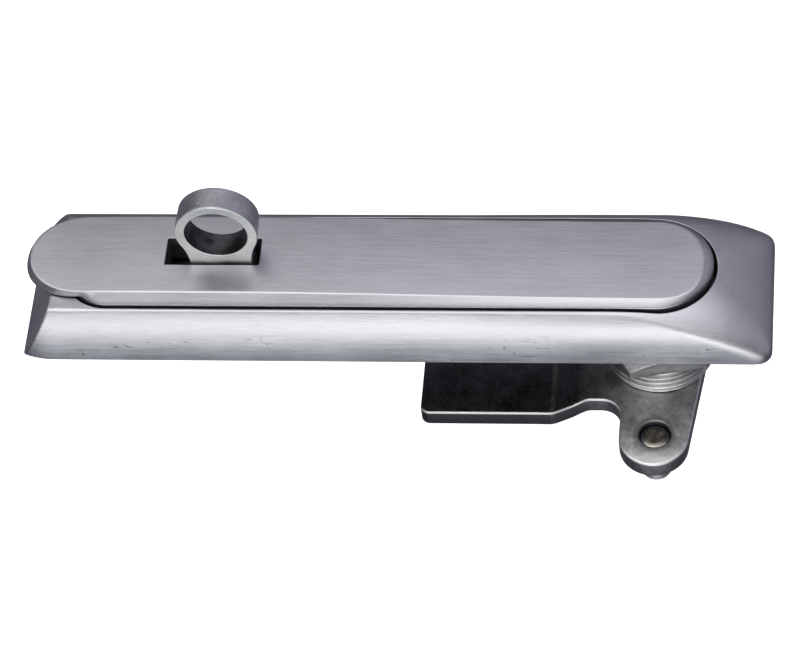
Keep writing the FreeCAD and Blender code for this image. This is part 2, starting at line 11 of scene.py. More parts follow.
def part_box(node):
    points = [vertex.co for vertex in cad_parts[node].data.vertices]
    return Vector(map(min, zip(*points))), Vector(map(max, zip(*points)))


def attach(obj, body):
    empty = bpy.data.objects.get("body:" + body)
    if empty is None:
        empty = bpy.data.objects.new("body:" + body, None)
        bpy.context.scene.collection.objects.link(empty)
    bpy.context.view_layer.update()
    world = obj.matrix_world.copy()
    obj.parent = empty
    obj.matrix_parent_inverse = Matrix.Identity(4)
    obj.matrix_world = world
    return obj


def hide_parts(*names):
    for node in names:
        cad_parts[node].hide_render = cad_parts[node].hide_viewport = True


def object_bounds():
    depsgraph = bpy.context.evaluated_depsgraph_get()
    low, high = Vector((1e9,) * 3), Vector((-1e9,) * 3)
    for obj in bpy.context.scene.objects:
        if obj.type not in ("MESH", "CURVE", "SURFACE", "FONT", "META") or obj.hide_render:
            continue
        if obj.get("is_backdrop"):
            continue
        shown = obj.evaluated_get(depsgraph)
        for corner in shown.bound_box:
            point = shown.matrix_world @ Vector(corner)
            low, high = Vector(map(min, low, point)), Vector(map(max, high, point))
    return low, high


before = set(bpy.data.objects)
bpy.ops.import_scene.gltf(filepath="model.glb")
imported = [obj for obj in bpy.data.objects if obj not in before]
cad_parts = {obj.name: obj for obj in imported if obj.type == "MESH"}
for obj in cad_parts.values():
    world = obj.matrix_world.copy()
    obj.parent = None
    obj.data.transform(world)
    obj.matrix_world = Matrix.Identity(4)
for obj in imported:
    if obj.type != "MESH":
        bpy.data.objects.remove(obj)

bl_info = {
    "name": "Swing handle latch",
    "version": (1, 0, 0),
    "blender": (4, 5, 0),
    "location": "3D View > Sidebar > Latch",
    "description": "Builds the visible pieces of a swing handle latch and a plain studio round it",
    "category": "Add Mesh",
}

MM = 0.001
TURN = 2.0 * math.pi
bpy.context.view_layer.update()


def node_box(name):
    """A node's lowest and highest corner, in millimetres."""
    low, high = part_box(name)
    return np.array(low) / MM, np.array(high) / MM


# Places and sizes in millimetres. The spindle's axis is X 0, Y 0 and the panel's face is Z 0.
HOUSING_LEFT, HOUSING_RIGHT = node_box("housing")[0][0], node_box("housing")[1][0]
BOSS_BOTTOM = node_box("housing")[0][2]
HOUSING_TOP, FLOOR = 11.3, 2.5
# The middle of the free end's fan of columns, the foot of the curved sides and the start of the crown
SPINE_LEFT, SIDE_FOOT, CROWN_START = -108.0, 0.8, 5.0
# The handle's recess, and how much further in its back wall stands
RECESS_LEFT, RECESS_HALF, RECESS_CORNER, RECESS_BACK = -116.0, 12.08, 8.5, 0.34
SEAT_RADIUS, SEAT_Z, BORE_RADIUS = 9.0, 0.4, 7.0
# The right end: its upright rim, the added rounds over the front and back rails, the corners' radii low and
# high, and how they open and lengthen on the way up
RIGHT_RIM, RIGHT_BROW, BACK_BROW = 1.6, 0.3, 2.0
CORNER_LOW, CORNER_TOP, CORNER_BLEND, CORNER_STRETCH = 3.0, 11.0, 0.9, 0.4
# The sloping end: how far its top stands back, and how far it is out of square
END_SET_BACK, END_TWIST = 6.8, 0.6
END_PAD_X = -105.0
# The handle: its gap in the recess, how much narrower the round end is at the back, its underside, its pin's
# height and radius, the ears' radius and half length, and how far it lifts in degrees
HANDLE_GAP, HANDLE_BACK, HANDLE_UNDER = 0.70, 0.26, 7.5
PIVOT_Z, PIVOT_RADIUS, LUG_RADIUS, LUG_HALF = 7.6, 2.0, 3.4, 9.0
HANDLE_LIFT = 35.0
# Room behind the handle: at the spindle, for each millimetre from it, and more round it for the end's swing
PLAY_ROOM, PLAY_SPREAD, SWING_ROOM = 0.12, 0.0055, 0.5
# The handle's top: half its width, its height at the eye, its fall to each end, and its camber
TOP_HALF, TOP_Z, TOP_FALL, TOP_DROOP, TOP_CAMBER = 9.65, 13.77, 1.2, 0.25, 0.24
# Up to what height the recess's wall and the handle's wall are painted dark for the shade that lies there
RECESS_SHADE_TOP, HANDLE_SHADE_TOP = 9.6, 9.8
# The round end's reach at the top, and the power of its outline at the front, at the back and at the foot
END_REACH, BEND_FRONT, BEND_BACK, BEND_FOOT = 9.5, 2.7, 2.1, 2.0
# The lip: its underside, where it starts, and its outline's middle, reach, half width and power, at the top
# edge and below
LIP_UNDER, LIP_START = 11.55, -107.0
LIP_ABOVE, LIP_BELOW = (-113.2, 10.4, TOP_HALF, 2.0), (-113.8, 10.75, 9.5, 2.25)
# The padlock slot from left to right and from front to back
SLOT = (-96.35, -77.60, -2.90, 3.90)
EYE_X, EYE_Y, EYE_Z = -85.1, 0.35, 22.2
EYE_THICK, EYE_RADIUS, EYE_HOLE, EYE_FOOT, EYE_FLANK = 5.5, 8.15, 6.1, 12.3, 13.0
EYE_SCREWS = (EYE_X - 9.5, EYE_X + 9.5)
CAM_TOP, CAM_THICK = -16.6, 3.8
TONGUE_LEFT, TONGUE_HALF, TONGUE_DROP = -47.9, 12.2, 4.0
# Where the tongue's bend starts and how far it runs to the left
BEND_START, BEND_RUN = -14.0, 7.3
EAR_X, EAR_Y, EAR_RADIUS, HUB_RADIUS, SQUARE_HALF = -0.55, -21.3, 6.9, 9.3, 4.05
ROD_X, ROD_Y, ROD_HOLE = -0.35, -20.5, 3.1
NUT_TURN = 11.0
BOLT_FLATS, BOLT_HEAD = 10.0, 4.0
# The smallest radius in a turned piece's profile, where a fan closes it
TIP = 0.02

# The camera, solved from edges of the photograph: degrees round, up and rolled, place in metres, lens
CAMERA_AZIMUTH, CAMERA_ELEVATION, CAMERA_ROLL = 10.86, 50.97, -8.08
CAMERA_PLACE = (0.04084, -0.48432, 0.59730)
CAMERA_LENS, CAMERA_SENSOR = 175.45, 36.0

# The room's glows: middle of the glow, dot product where it starts and where it is full, tint, strength
ROOM_GLOWS = (
    ((0.0, 0.0, 1.0), -2.0, -1.5, (0.92, 0.93, 1.12), 0.14),
    ((0.0, -0.927, -0.375), 0.66, 0.985, (0.93, 0.99, 1.02), 0.62),
    ((-0.05, -1.0, 0.015), 0.952, 0.995, (1.0, 0.99, 0.92), 1.18),
    ((0.06, -0.72, 0.69), 0.92, 0.99, (0.98, 1.0, 1.02), 0.65),
    ((0.0, -0.99, -0.14), 0.90, 0.99, (0.98, 1.0, 0.99), 0.62),
    ((0.45, -0.88, 0.06), 0.88, 0.99, (1.0, 0.99, 0.96), 0.70),
    ((-0.35, -0.15, 0.92), 0.40, 0.95, (0.99, 0.99, 1.0), 1.12),
    ((-0.25, -0.30, 0.92), 0.92, 0.99, (1.0, 1.0, 1.0), 1.30),
    ((0.70, 0.35, 0.62), 0.40, 0.98, (0.90, 0.92, 1.10), 0.36),
)


# Property helpers
def length(label, text, value):
    """A length property, in metres."""
    return bpy.props.FloatProperty(
        name=label,
        description=text,
        default=value,
        min=0.0,
        soft_max=0.2,
        precision=5,
        unit="LENGTH",
        subtype="DISTANCE",
    )


def colour(label, text, value):
    """A linear colour property."""
    return bpy.props.FloatVectorProperty(
        name=label, description=text, default=value, size=3, min=0.0, max=1.0, subtype="COLOR"
    )


def share(label, text, value):
    """A plain number between nought and one."""
    return bpy.props.FloatProperty(
        name=label, description=text, default=value, min=0.0, max=1.0, subtype="FACTOR"
    )


class LatchHousingSizes(bpy.types.PropertyGroup):
    """Sizes of the long housing."""

    half_width: length("Half width", "Half the housing's width on the panel", 0.0161)
    height: length("Height", "Height of the two rails over the panel", HOUSING_TOP * MM)
    rail_half: length("Rail half width", "Half the width over the rails' outer edges", 0.0126)
    rim_edge: length("Rim edge", "Radius on the recess's upper edge", 0.00022)
    rail_edge: length("Rail edge", "Radius between the rail and the side", 0.00012)
    end_edge: length("End edge", "Radius at the sloping end's two hips", 0.0005)


class LatchHandleSizes(bpy.types.PropertyGroup):
    """Sizes of the folding handle."""

    edge: length("Edge", "Radius along the top's two long edges", 0.0005)
    foot_edge: length("Foot edge", "Radius along the lower edge of the bevel", 0.0003)
    slot_edge: length("Slot edge", "Radius round the padlock slot", 0.0002)


class LatchBossSizes(bpy.types.PropertyGroup):
    """Sizes of the threaded boss and its nut."""

    radius: length("Boss radius", "Outside radius of the thread's crests", 0.011)
    pitch: length("Pitch", "Distance between two crests", 0.0015)
    depth: length("Thread depth", "Depth of the thread's groove", 0.00085)
    nut_flats: length("Nut across flats", "Distance between two opposite flats", 0.027)


class LatchFinish(bpy.types.PropertyGroup):
    """Colours and finishes of the metals."""

    brushed: colour("Brushed steel", "Colour of the housing and the handle", (0.47, 0.465, 0.485))
    # Painted shade: the near black of the recess's inside, the handle's underside and the eye's base plate
    cast: colour("Inside", "Colour of the steel inside the recess and under the handle", (0.12, 0.118, 0.125))
    eye: colour("Eye steel", "Colour of the padlock eye's flat faces", (0.66, 0.66, 0.64))
    eye_side: colour("Eye sides", "Colour of the padlock eye's curved faces", (0.46, 0.455, 0.475))
    # Its near black is partly the tongue's own and partly painted shade; it also paints shade round the rod
    # pin's hole
    cam_dark_and_shade: colour("Cam tongue", "Colour of the cam's dark tongue", (0.062, 0.062, 0.066))
    # The ear's paler grey is partly wear and partly painted light
    cam_ear_wear_and_light: colour("Cam ear", "Colour of the cam's hub and ear", (0.54, 0.53, 0.52))
    nut: colour("Nut", "Colour of the mounting nut", (0.33, 0.33, 0.325))
    pin: colour("Rod pin", "Colour of the rod pin", (0.20, 0.175, 0.145))
    turned: colour("Turned steel", "Colour of turned pieces", (0.56, 0.56, 0.55))
    rubber: colour("Seal rubber", "Colour of the spindle's seal", (0.012, 0.012, 0.012))
    grain: share("Grain", "Strength of the brushed grain", 0.5)


class LatchStudio(bpy.types.PropertyGroup):
    """Camera, lamps and floor."""

    floor_drop: length("Floor drop", "How far the floor lies below the lowest piece", 0.045)
    floor_colour: colour("Floor", "Colour of the floor", (0.93, 0.93, 0.93))


# Mesh helpers
def smooth(t):
    """Eases a share from nought to one: 3t^2 - 2t^3."""
    t = np.clip(t, 0.0, 1.0)
    return t * t * (3.0 - 2.0 * t)


def grid_faces(rows, columns, closed_rows):
    """Quads of a grid of points whose columns run round in a ring, with the rows joined up too if asked."""
    last = rows if closed_rows else rows - 1
    row, column = np.meshgrid(np.arange(last), np.arange(columns), indexing="ij")
    next_row = (row + 1) % rows
    next_column = (column + 1) % columns
    corners = [(row, column), (row, next_column), (next_row, next_column), (next_row, column)]
    return np.stack([at * columns + along for at, along in corners], axis=-1).reshape(-1, 4)


def enclosed(points, quads):
    """Six times the volume inside the quads, from the sum of p0 . (p1 x p2) over their triangles."""
    a, b, c, d = (points[quads[:, index]] for index in range(4))
    first = np.einsum("ij,ij->i", a, np.cross(b, c)).sum()
    return first + np.einsum("ij,ij->i", a, np.cross(c, d)).sum()


def fill_mesh(name, points, quads, fans):
    """A mesh from points in millimetres, quads, and triangle fans that close the ends."""
    volume = enclosed(points, quads)
    if len(fans):
        volume += enclosed(points, np.c_[fans, fans[:, :1]])
    if volume < 0.0:
        quads = quads[:, ::-1]
        fans = fans[:, ::-1]
    mesh = bpy.data.meshes.new(name)
    mesh.vertices.add(len(points))
    mesh.vertices.foreach_set("co", (points * MM).astype(np.float32).ravel())
    corners = np.concatenate([quads.ravel(), fans.ravel()]).astype(np.int32)
    sizes = np.concatenate([np.full(len(quads), 4), np.full(len(fans), 3)]).astype(np.int32)
    mesh.loops.add(len(corners))
    mesh.loops.foreach_set("vertex_index", corners)
    mesh.polygons.add(len(sizes))
    mesh.polygons.foreach_set("loop_start", np.concatenate([[0], np.cumsum(sizes)[:-1]]).astype(np.int32))
    mesh.polygons.foreach_set("use_smooth", np.ones(len(sizes), bool))
    mesh.update(calc_edges=True)
    mesh.validate()
    return mesh


def add_piece(name, mesh):
    """An object for the mesh, in the scene."""
    piece = bpy.data.objects.new(name, mesh)
    bpy.context.scene.collection.objects.link(piece)
    return piece


def ring_piece(name, rings, closed=True):
    """A piece from rings of points, shape (rings, points round, 3).
    It is closed on itself, or ended with two fans."""
    count, around = rings.shape[:2]
    points = rings.reshape(-1, 3)
    quads = grid_faces(count, around, closed)
    fans = np.zeros((0, 3), int)
    if not closed:
        points = np.vstack([points, rings[0].mean(axis=0), rings[-1].mean(axis=0)])
        step = np.arange(around)
        after = (step + 1) % around
        low = np.stack([np.full(around, count * around), after, step], axis=-1)
        top = (count - 1) * around
        high = np.stack([np.full(around, count * around + 1), top + step, top + after], axis=-1)
        fans = np.vstack([low, high])
    return add_piece(name, fill_mesh(name, points, quads, fans))


def soften(rings, radii, closed=True, steps=4):
    """Rounds the corners of a chain of rings.
    At each ring P with radius r, A and B lie r from P towards its two neighbours, and the corner becomes the
    curve (1-t)^2 A + 2 t (1-t) P + t^2 B. One more ring on each side keeps the flats flat."""
    rings = np.asarray(rings, float)
    count = len(rings)
    made = []
    blend = np.linspace(0.0, 1.0, steps + 1)
    for index in range(count):
        here = rings[index]
        radius = radii[index]
        at_end = not closed and index in (0, count - 1)
        if at_end or radius <= 0.0:
            made.append(here)
            continue
        before = rings[index - 1] - here
        after = rings[(index + 1) % count] - here
        before_length = np.linalg.norm(before, axis=-1, keepdims=True) + 1e-9
        after_length = np.linalg.norm(after, axis=-1, keepdims=True) + 1e-9
        start = here + before * np.minimum(radius / before_length, 0.42)
        end = here + after * np.minimum(radius / after_length, 0.42)
        made.append(here + before * np.minimum(1.7 * radius / before_length, 0.48))
        for t in blend:
            made.append((1 - t) ** 2 * start + 2 * t * (1 - t) * here + t * t * end)
        made.append(here + after * np.minimum(1.7 * radius / after_length, 0.48))
    return np.array(made)


def full_turn(count):
    """Angles that go once round, in radians."""
    return np.arange(count) * TURN / count


def polar_ring(angle, radius, z, centre=(0.0, 0.0)):
    """Points (x0 + r cos a, y0 + r sin a, z) about an upright axis."""
    x = centre[0] + radius * np.cos(angle)
    y = centre[1] + radius * np.sin(angle)
    return np.stack([x, y, np.broadcast_to(z, x.shape)], axis=-1)


def turned(name, profile, radii=None, around=64, centre=(0.0, 0.0), closed=False):
    """A piece turned about an upright axis: a ring for each (r, z) of the profile, rounded by the radii."""
    angle = full_turn(around)
    rings = [polar_ring(angle, r, z, centre) for r, z in profile]
    return ring_piece(name, soften(rings, radii or [0.0] * len(profile), closed), closed)


def drill(name, radius, low, high, centre=(0.0, 0.0), around=64):
    """A plain round cutter on an upright axis."""
    return turned(name, [(TIP, low), (radius, low), (radius, high), (TIP, high)], None, around, centre)


def lay_across(piece, height=0.0):
    """Turns a piece's mesh so that its upright axis lies along Y at a height."""
    piece.data.transform(Matrix.Translation((0, 0, height * MM)) @ Matrix.Rotation(TURN / 4.0, 4, "X"))
    return piece


def apply_modifiers(piece):
    """Puts the piece's modifiers into its mesh."""
    graph = bpy.context.evaluated_depsgraph_get()
    graph.update()
    mesh = bpy.data.meshes.new_from_object(piece.evaluated_get(graph))
    piece.modifiers.clear()
    piece.data = mesh
    mesh.polygons.foreach_set("use_smooth", np.ones(len(mesh.polygons), bool))


def carve(piece, cutters, operation="DIFFERENCE"):
    """Cuts or joins each cutter piece, then deletes the cutters."""
    for cutter in cutters:
        tool = piece.modifiers.new("carve", "BOOLEAN")
        tool.operation = operation
        tool.solver = "EXACT"
        tool.object = cutter
    bpy.context.view_layer.update()
    apply_modifiers(piece)
    for cutter in cutters:
        bpy.data.objects.remove(cutter)


def edge_sharpness(piece, degrees=32.0):
    """Smooth shading that breaks at edges sharper than the angle."""
    mesh = piece.data
    mesh.polygons.foreach_set("use_smooth", np.ones(len(mesh.polygons), bool))
    mesh.set_sharp_from_angle(angle=math.radians(degrees))


def bevel(piece, width, segments=3, degrees=30.0):
    """Rounds edges sharper than the angle, width in millimetres."""
    tool = piece.modifiers.new("edge", "BEVEL")
    tool.width = width * MM
    tool.segments = segments
    tool.limit_method = "ANGLE"
    tool.angle_limit = math.radians(degrees)
    tool.use_clamp_overlap = True
    tool.harden_normals = False


def outline_block(name, outline, low, high):
    """A plate from a closed outline of (x, y) points between two heights."""
    outline = np.asarray(outline, float)
    count = len(outline)
    points = np.vstack([np.c_[outline, np.full(count, z)] for z in (low, high)]) * MM
    step = np.arange(count)
    after = (step + 1) % count
    sides = np.stack([step, after, count + after, count + step], axis=-1)
    mesh = bpy.data.meshes.new(name)
    mesh.from_pydata(points.tolist(), [], [step[::-1].tolist(), (count + step).tolist()] + sides.tolist())
    mesh.update()
    return add_piece(name, mesh)


def mark_faces(piece, test):
    """Gives the faces whose middle (millimetres) and normal pass the test the piece's second material."""
    mesh = piece.data
    normals = np.zeros(len(mesh.polygons) * 3, np.float32)
    middles = np.zeros_like(normals)
    mesh.polygons.foreach_get("normal", normals)
    mesh.polygons.foreach_get("center", middles)
    chosen = test(middles.reshape(-1, 3) / MM, normals.reshape(-1, 3))
    mesh.polygons.foreach_set("material_index", chosen.astype(np.int32))


def in_recess(middle, normal):
    """Whether a face of the housing lies down in the recess."""
    x, y, z = middle.T
    bound = np.where(x < 0.0, np.abs(y), np.hypot(x, y)) < RECESS_HALF + 0.03
    return bound & (x > RECESS_LEFT - 0.03) & (z > 0.3) & (z < RECESS_SHADE_TOP)


def under_handle(middle, normal):
    """Whether a face of the handle lies on its wall, its underside or in the slot."""
    x, y, z = middle.T
    inside = (x > SLOT[0] - 0.05) & (x < SLOT[1] + 0.05) & (y > SLOT[2] - 0.05) & (y < SLOT[3] + 0.05)
    return (z < HANDLE_SHADE_TOP) | (inside & (z < 12.9)) | (normal[:, 2] < -0.7)


def arc_points(centre, radius, start, end, count):
    """Points on an arc, from one angle to the other in degrees."""
    angle = np.radians(np.linspace(start, end, count))
    return np.stack([centre[0] + radius * np.cos(angle), centre[1] + radius * np.sin(angle)], axis=-1)


def rounded_box(x0, x1, y0, y1, r, count=8):
    """Outline of a rectangle with round corners."""
    return np.vstack(
        [
            arc_points((x1 - r, y0 + r), r, -90, 0, count),
            arc_points((x1 - r, y1 - r), r, 0, 90, count),
            arc_points((x0 + r, y1 - r), r, 90, 180, count),
            arc_points((x0 + r, y0 + r), r, 180, 270, count),
        ]
    )


def round_corner_distance(first, second, radius):
    """Distance to the meeting of two shapes whose shared edge is rounded.
    Near the edge it is length(max(a + r, 0), max(b + r, 0)) - r, with a and b the distances to the two."""
    a = np.maximum(first + radius, 0.0)
    b = np.maximum(second + radius, 0.0)
    return np.minimum(-radius, np.maximum(first, second)) + np.sqrt(a * a + b * b)


# The housing
def spine_columns(ends, side, hips=0):
    """Foot points and directions of the columns that a long shape is drawn on.
    They fan round the spindle at the right, run square to the X axis along both sides, and fan round
    again at the left: foot (x, 0) and direction (cos a, sin a). More columns can crowd at the left end's
    two hips."""
    fan = np.linspace(-90.0, 90.0, ends)
    run = SPINE_LEFT * np.linspace(0.0, 1.0, side + 2)[1:-1]
    left_fan = np.linspace(90.0, 270.0, ends)
    if hips:
        crowd = np.linspace(128.0, 145.0, hips)
        apart = left_fan[(np.abs(np.abs(left_fan - 180.0) - 43.5) > 9.0)]
        left_fan = np.sort(np.concatenate([apart, crowd, 360.0 - crowd]))
    angle = np.radians(np.concatenate([fan, np.full(side, 90.0), left_fan, np.full(side, 270.0)]))
    foot = np.concatenate([np.zeros(ends), run, np.full(len(left_fan), SPINE_LEFT), run[::-1]])
    return foot, np.cos(angle), np.sin(angle)


def reach_of(outline, foot, dx, dy):
    """How far each column runs from its foot to a closed convex outline: the least t with (foot + t d) on an
    edge's line, over the edges that face it."""
    here = outline
    there = np.roll(outline, -1, axis=0)
    edge = there - here
    normal = np.stack([edge[:, 1], -edge[:, 0]], axis=-1)
    offset = np.einsum("ij,ij->i", normal, here)
    ahead = normal[:, 0][None, :] * dx[:, None] + normal[:, 1][None, :] * dy[:, None]
    room = offset[None, :] - normal[:, 0][None, :] * foot[:, None]
    distance = np.where(ahead > 1e-9, room / np.maximum(ahead, 1e-9), 1e9)
    return distance.min(axis=1)


def recess_outline(gap, back, count=40):
    """The recess's outline drawn in by a gap, and a little more along the back."""
    half = RECESS_HALF - gap
    corner = RECESS_CORNER - gap
    left = RECESS_LEFT + gap
    outline = np.vstack(
        [
            arc_points((0.0, 0.0), half, -90, 90, 2 * count),
            arc_points((left + corner, half - corner), corner, 90, 180, count),
            arc_points((left + corner, corner - half), corner, 180, 270, count),
        ]
    )
    outline[:, 1] *= np.where(outline[:, 1] > 0.0, 1.0 - back / half, 1.0)
    return outline


def column_points(foot, dx, dy, reach, z):
    """Points at a distance along the columns, at height z."""
    return np.stack([foot + reach * dx, reach * dy, np.broadcast_to(z, reach.shape)], axis=-1)


def circle_under(points, radius, z):
    """Points of a circle about the spindle, each at the same bearing as the point given."""
    return polar_ring(np.arctan2(points[:, 1], points[:, 0]), radius, z)


def right_reach(z, height):
    """How far right the housing stands at a height.
    It is an arc that falls from the top, eased into an upright rim."""
    run, fall = HOUSING_RIGHT - CROWN_START, height - RIGHT_RIM
    crown = (run * run + fall * fall) / (2.0 * fall)
    drop = np.clip(height - z, 0.0, height)
    over = CROWN_START + np.sqrt(drop * (2.0 * crown - drop)) - HOUSING_RIGHT
    return HOUSING_RIGHT + 0.5 * (over - np.sqrt(over * over + 0.12))


def side_distance(x, y, z, sizes):
    """How far a point lies outside the long sides and the right end.
    Half the width is h - lean * u^q with u the share of the height over the foot. The power q grows towards
    the spindle, and low down at the free end the sides draw in a little. The outline at each height is a
    box whose right-hand corners open from a small radius to a wide one."""
    half = sizes.half_width / MM
    height = sizes.height / MM
    lean = half - sizes.rail_half / MM
    rise = height - SIDE_FOOT
    u = np.clip((z - SIDE_FOOT) / rise, 0.0, 1.2)
    power = 2.05 + 0.6 * smooth((x + 45.0) / 40.0)
    draw = 1.3 * np.clip((-118.8 - x) / 6.4, 0.0, 1.0) ** 2 * (1.0 - np.clip(z / height, 0.0, 1.0))
    width = half - lean * u ** power - draw
    slope = lean / rise * power * u ** (power - 1.0)
    opened = np.clip((z - RIGHT_RIM) / (height - RIGHT_RIM), 0.0, 1.0) ** CORNER_BLEND
    corner = CORNER_LOW + (CORNER_TOP - CORNER_LOW) * opened
    longer = 1.0 + CORNER_STRETCH * opened
    beyond = (x - right_reach(z, height)) / longer + corner
    aside = np.abs(y) - width + corner
    outside = np.hypot(np.maximum(beyond, 0.0), np.maximum(aside, 0.0))
    box = outside + np.minimum(np.maximum(beyond, aside), 0.0)
    return (box - corner) / np.sqrt(1.0 + slope * slope)


def housing_distance(x, y, z, sizes):
    """How far a point lies outside the housing's outer form: its sides, the sloping end and the flat top,
    with a small round where they meet."""
    height = sizes.height / MM
    side = side_distance(x, y, z, sizes)
    back = END_SET_BACK + END_TWIST * y / RECESS_HALF
    left = (HOUSING_LEFT - x + back * z / height) / np.sqrt(1.0 + (back / height) ** 2)
    wall = round_corner_distance(side, left, sizes.end_edge / MM)
    edge = sizes.rail_edge / MM + RIGHT_BROW * smooth((x + 24.0) / 30.0) + BACK_BROW * smooth(y / 6.0)
    return round_corner_distance(wall, z - height, edge)


def housing_skin(foot, dx, dy, wall, sizes, levels):
    """The outer skin from the panel up to the recess's rim.
    Each column is swept by a ray that starts at the recess wall's foot and turns from flat to upright. The
    ray's length is halved down on until housing_distance is nought."""
    rings = []
    for level in levels:
        along, upward = math.cos(level), math.sin(level)
        near = np.zeros_like(wall)
        far = np.full_like(wall, 34.0)
        for _ in range(34):
            middle = 0.5 * (near + far)
            reach = wall + middle * along
            outside = housing_distance(foot + reach * dx, reach * dy, middle * upward, sizes) > 0.0
            far = np.where(outside, middle, far)
            near = np.where(outside, near, middle)
        rings.append(column_points(foot, dx, dy, wall + near * along, near * upward))
    return rings


def make_housing_shell(sizes):
    """The housing without its boss: one closed surface of rings about the spindle.
    From the bore out under the panel face, up the skin, over the rail, down the recess, across the floor
    to the flange's seat, and down the bore."""
    foot, dx, dy = spine_columns(ends=80, side=96, hips=70)
    wall = reach_of(recess_outline(0.0, RECESS_BACK), foot, dx, dy)
    rim_edge = sizes.rim_edge / MM
    steps = 1.0 - np.linspace(1.0, 0.0, 40) ** 1.35
    skin = housing_skin(foot, dx, dy, wall + rim_edge, sizes, steps * math.pi / 2.0)
    base = skin[0]
    rim = skin[-1] - rim_edge * np.stack([dx, dy, np.zeros_like(dx)], axis=-1)
    floor_edge = column_points(foot, dx, dy, wall, FLOOR)
    circles = [(SEAT_RADIUS, FLOOR), (SEAT_RADIUS, SEAT_Z), (BORE_RADIUS, SEAT_Z)]
    rings = [circle_under(base, BORE_RADIUS, 0.0), base] + skin[1:] + [rim, floor_edge]
    rings += [circle_under(floor_edge, radius, z) for radius, z in circles]
    radii = [0.0, 0.18] + [0.0] * (len(skin) - 1) + [rim_edge * 1.4, 0.5, 0.2, 0.1, 0.15]
    return ring_piece("housing_shell", soften(rings, radii))


def carve_fixing_holes(shell):
    """Cuts the end fixing's mouth and the two countersinks of the eye's screws into the panel face."""
    cutters = [drill("end_hole", 3.4, -1.0, 3.2, (END_PAD_X, 0.0))]
    for number, x in enumerate(EYE_SCREWS):
        profile = [(TIP, -0.5), (4.3, -0.5), (2.0, 1.83), (2.0, 3.2), (TIP, 3.2)]
        cutters.append(turned(f"screw_hole_{number}", profile, centre=(x, EYE_Y)))
    carve(shell, cutters)


def make_boss(sizes):
    """The threaded boss: a closed tube whose outside is r = radius - depth * w, with w the height of a
    rounded triangle wave of (z / pitch - a / turn), and whose end is broken by a short cone."""
    radius, pitch, depth = sizes.radius / MM, sizes.pitch / MM, sizes.depth / MM
    low, high = BOSS_BOTTOM, 0.2
    per_turn = 14
    angle = full_turn(180)
    heights = np.linspace(low + 0.02, high, int((high - low) / pitch * per_turn))[:, None]
    wave = np.abs((heights / pitch - angle / TURN) % 1.0 * 2.0 - 1.0)
    thread = radius - depth * smooth((wave - 0.12) / 0.76)
    cone = radius - 0.75 + 0.75 * np.clip(heights - low, 0.0, 1.0)
    inner = BORE_RADIUS + 0.01
    mouth = [(inner, low + 0.3), (inner + 0.3, low), (radius - 1.0, low), (radius - 0.85, low + 0.01)]
    rings = [polar_ring(angle, r, z) for r, z in mouth]
    rings += list(polar_ring(angle, np.minimum(thread, cone), heights))
    rings.append(polar_ring(angle, inner, high))
    return ring_piece("boss_thread", np.array(rings))


def make_end_pad():
    """The raised pad over the end fixing: turned about its own axis, with a blind hole."""
    place = (END_PAD_X, 0.0)
    profile = [(2.1, 0.25), (2.35, 0.02), (3.4, 0.02), (4.4, 1.8), (4.4, 6.5), (TIP, 6.5)]
    pad = turned("end_pad", profile, [0, 0.05, 0.3, 0.3, 0.4, 0], centre=place)
    carve(pad, [drill("pad_bore", 2.1, -1.0, 5.5, place)])
    edge_sharpness(pad, 40.0)
    return pad


# The handle
def bar_outline():
    """The handle bar's outline. Its back follows the recess's wall with just the room that the free play
    needs at each distance from the spindle, and more round the spindle, where the end swings outwards
    when lifted."""
    outline = recess_outline(HANDLE_GAP, 0.0)
    x = outline[:, 0]
    room = PLAY_ROOM + PLAY_SPREAD * np.abs(x) + SWING_ROOM * smooth((x + 9.0) / 9.0)
    closer = (HANDLE_GAP - RECESS_BACK - room) / (RECESS_HALF - HANDLE_GAP)
    outline[:, 1] *= np.where(outline[:, 1] > 0.0, 1.0 + closer, 1.0)
    return outline


def handle_top_height(points):
    """Height of the handle's top at the points: level over the eye, falling towards the spindle and a
    little at the free end, and cambered a little across."""
    x, y = points[:, 0], points[:, 1]
    along = TOP_Z - TOP_FALL * smooth((x + 85.0) / 85.0) - TOP_DROOP * smooth((-105.0 - x) / 20.0)
    return along - TOP_CAMBER * (y / TOP_HALF) ** 2


def lip_outline(middle, reach, half, power, right):
    """The lip's outline: |x / reach|^p + |y / half|^p = 1 at the free end, straight on to the right."""
    angle = np.radians(np.linspace(90, 270, 120))
    across, upward = np.cos(angle), np.sin(angle)
    size = (np.abs(across) ** power + np.abs(upward) ** power) ** (-1.0 / power)
    end = np.stack([middle + reach * across * size, half * upward * size], axis=-1)
    return np.vstack([np.array([[right, -half], [right, half]]), end])


def slot_ring(points, z):
    """Points of the slot's mouth at the same bearing from its middle as the points given."""
    centre = np.array([(SLOT[0] + SLOT[1]) / 2.0, (SLOT[2] + SLOT[3]) / 2.0])
    away = points[:, :2] - centre
    bearing = np.arctan2(away[:, 1], away[:, 0])
    outline = rounded_box(*SLOT, 0.3, 5) - centre
    reach = reach_of(outline, np.zeros(len(bearing)), np.cos(bearing), np.sin(bearing))
    return polar_ring(bearing, reach, z, centre)


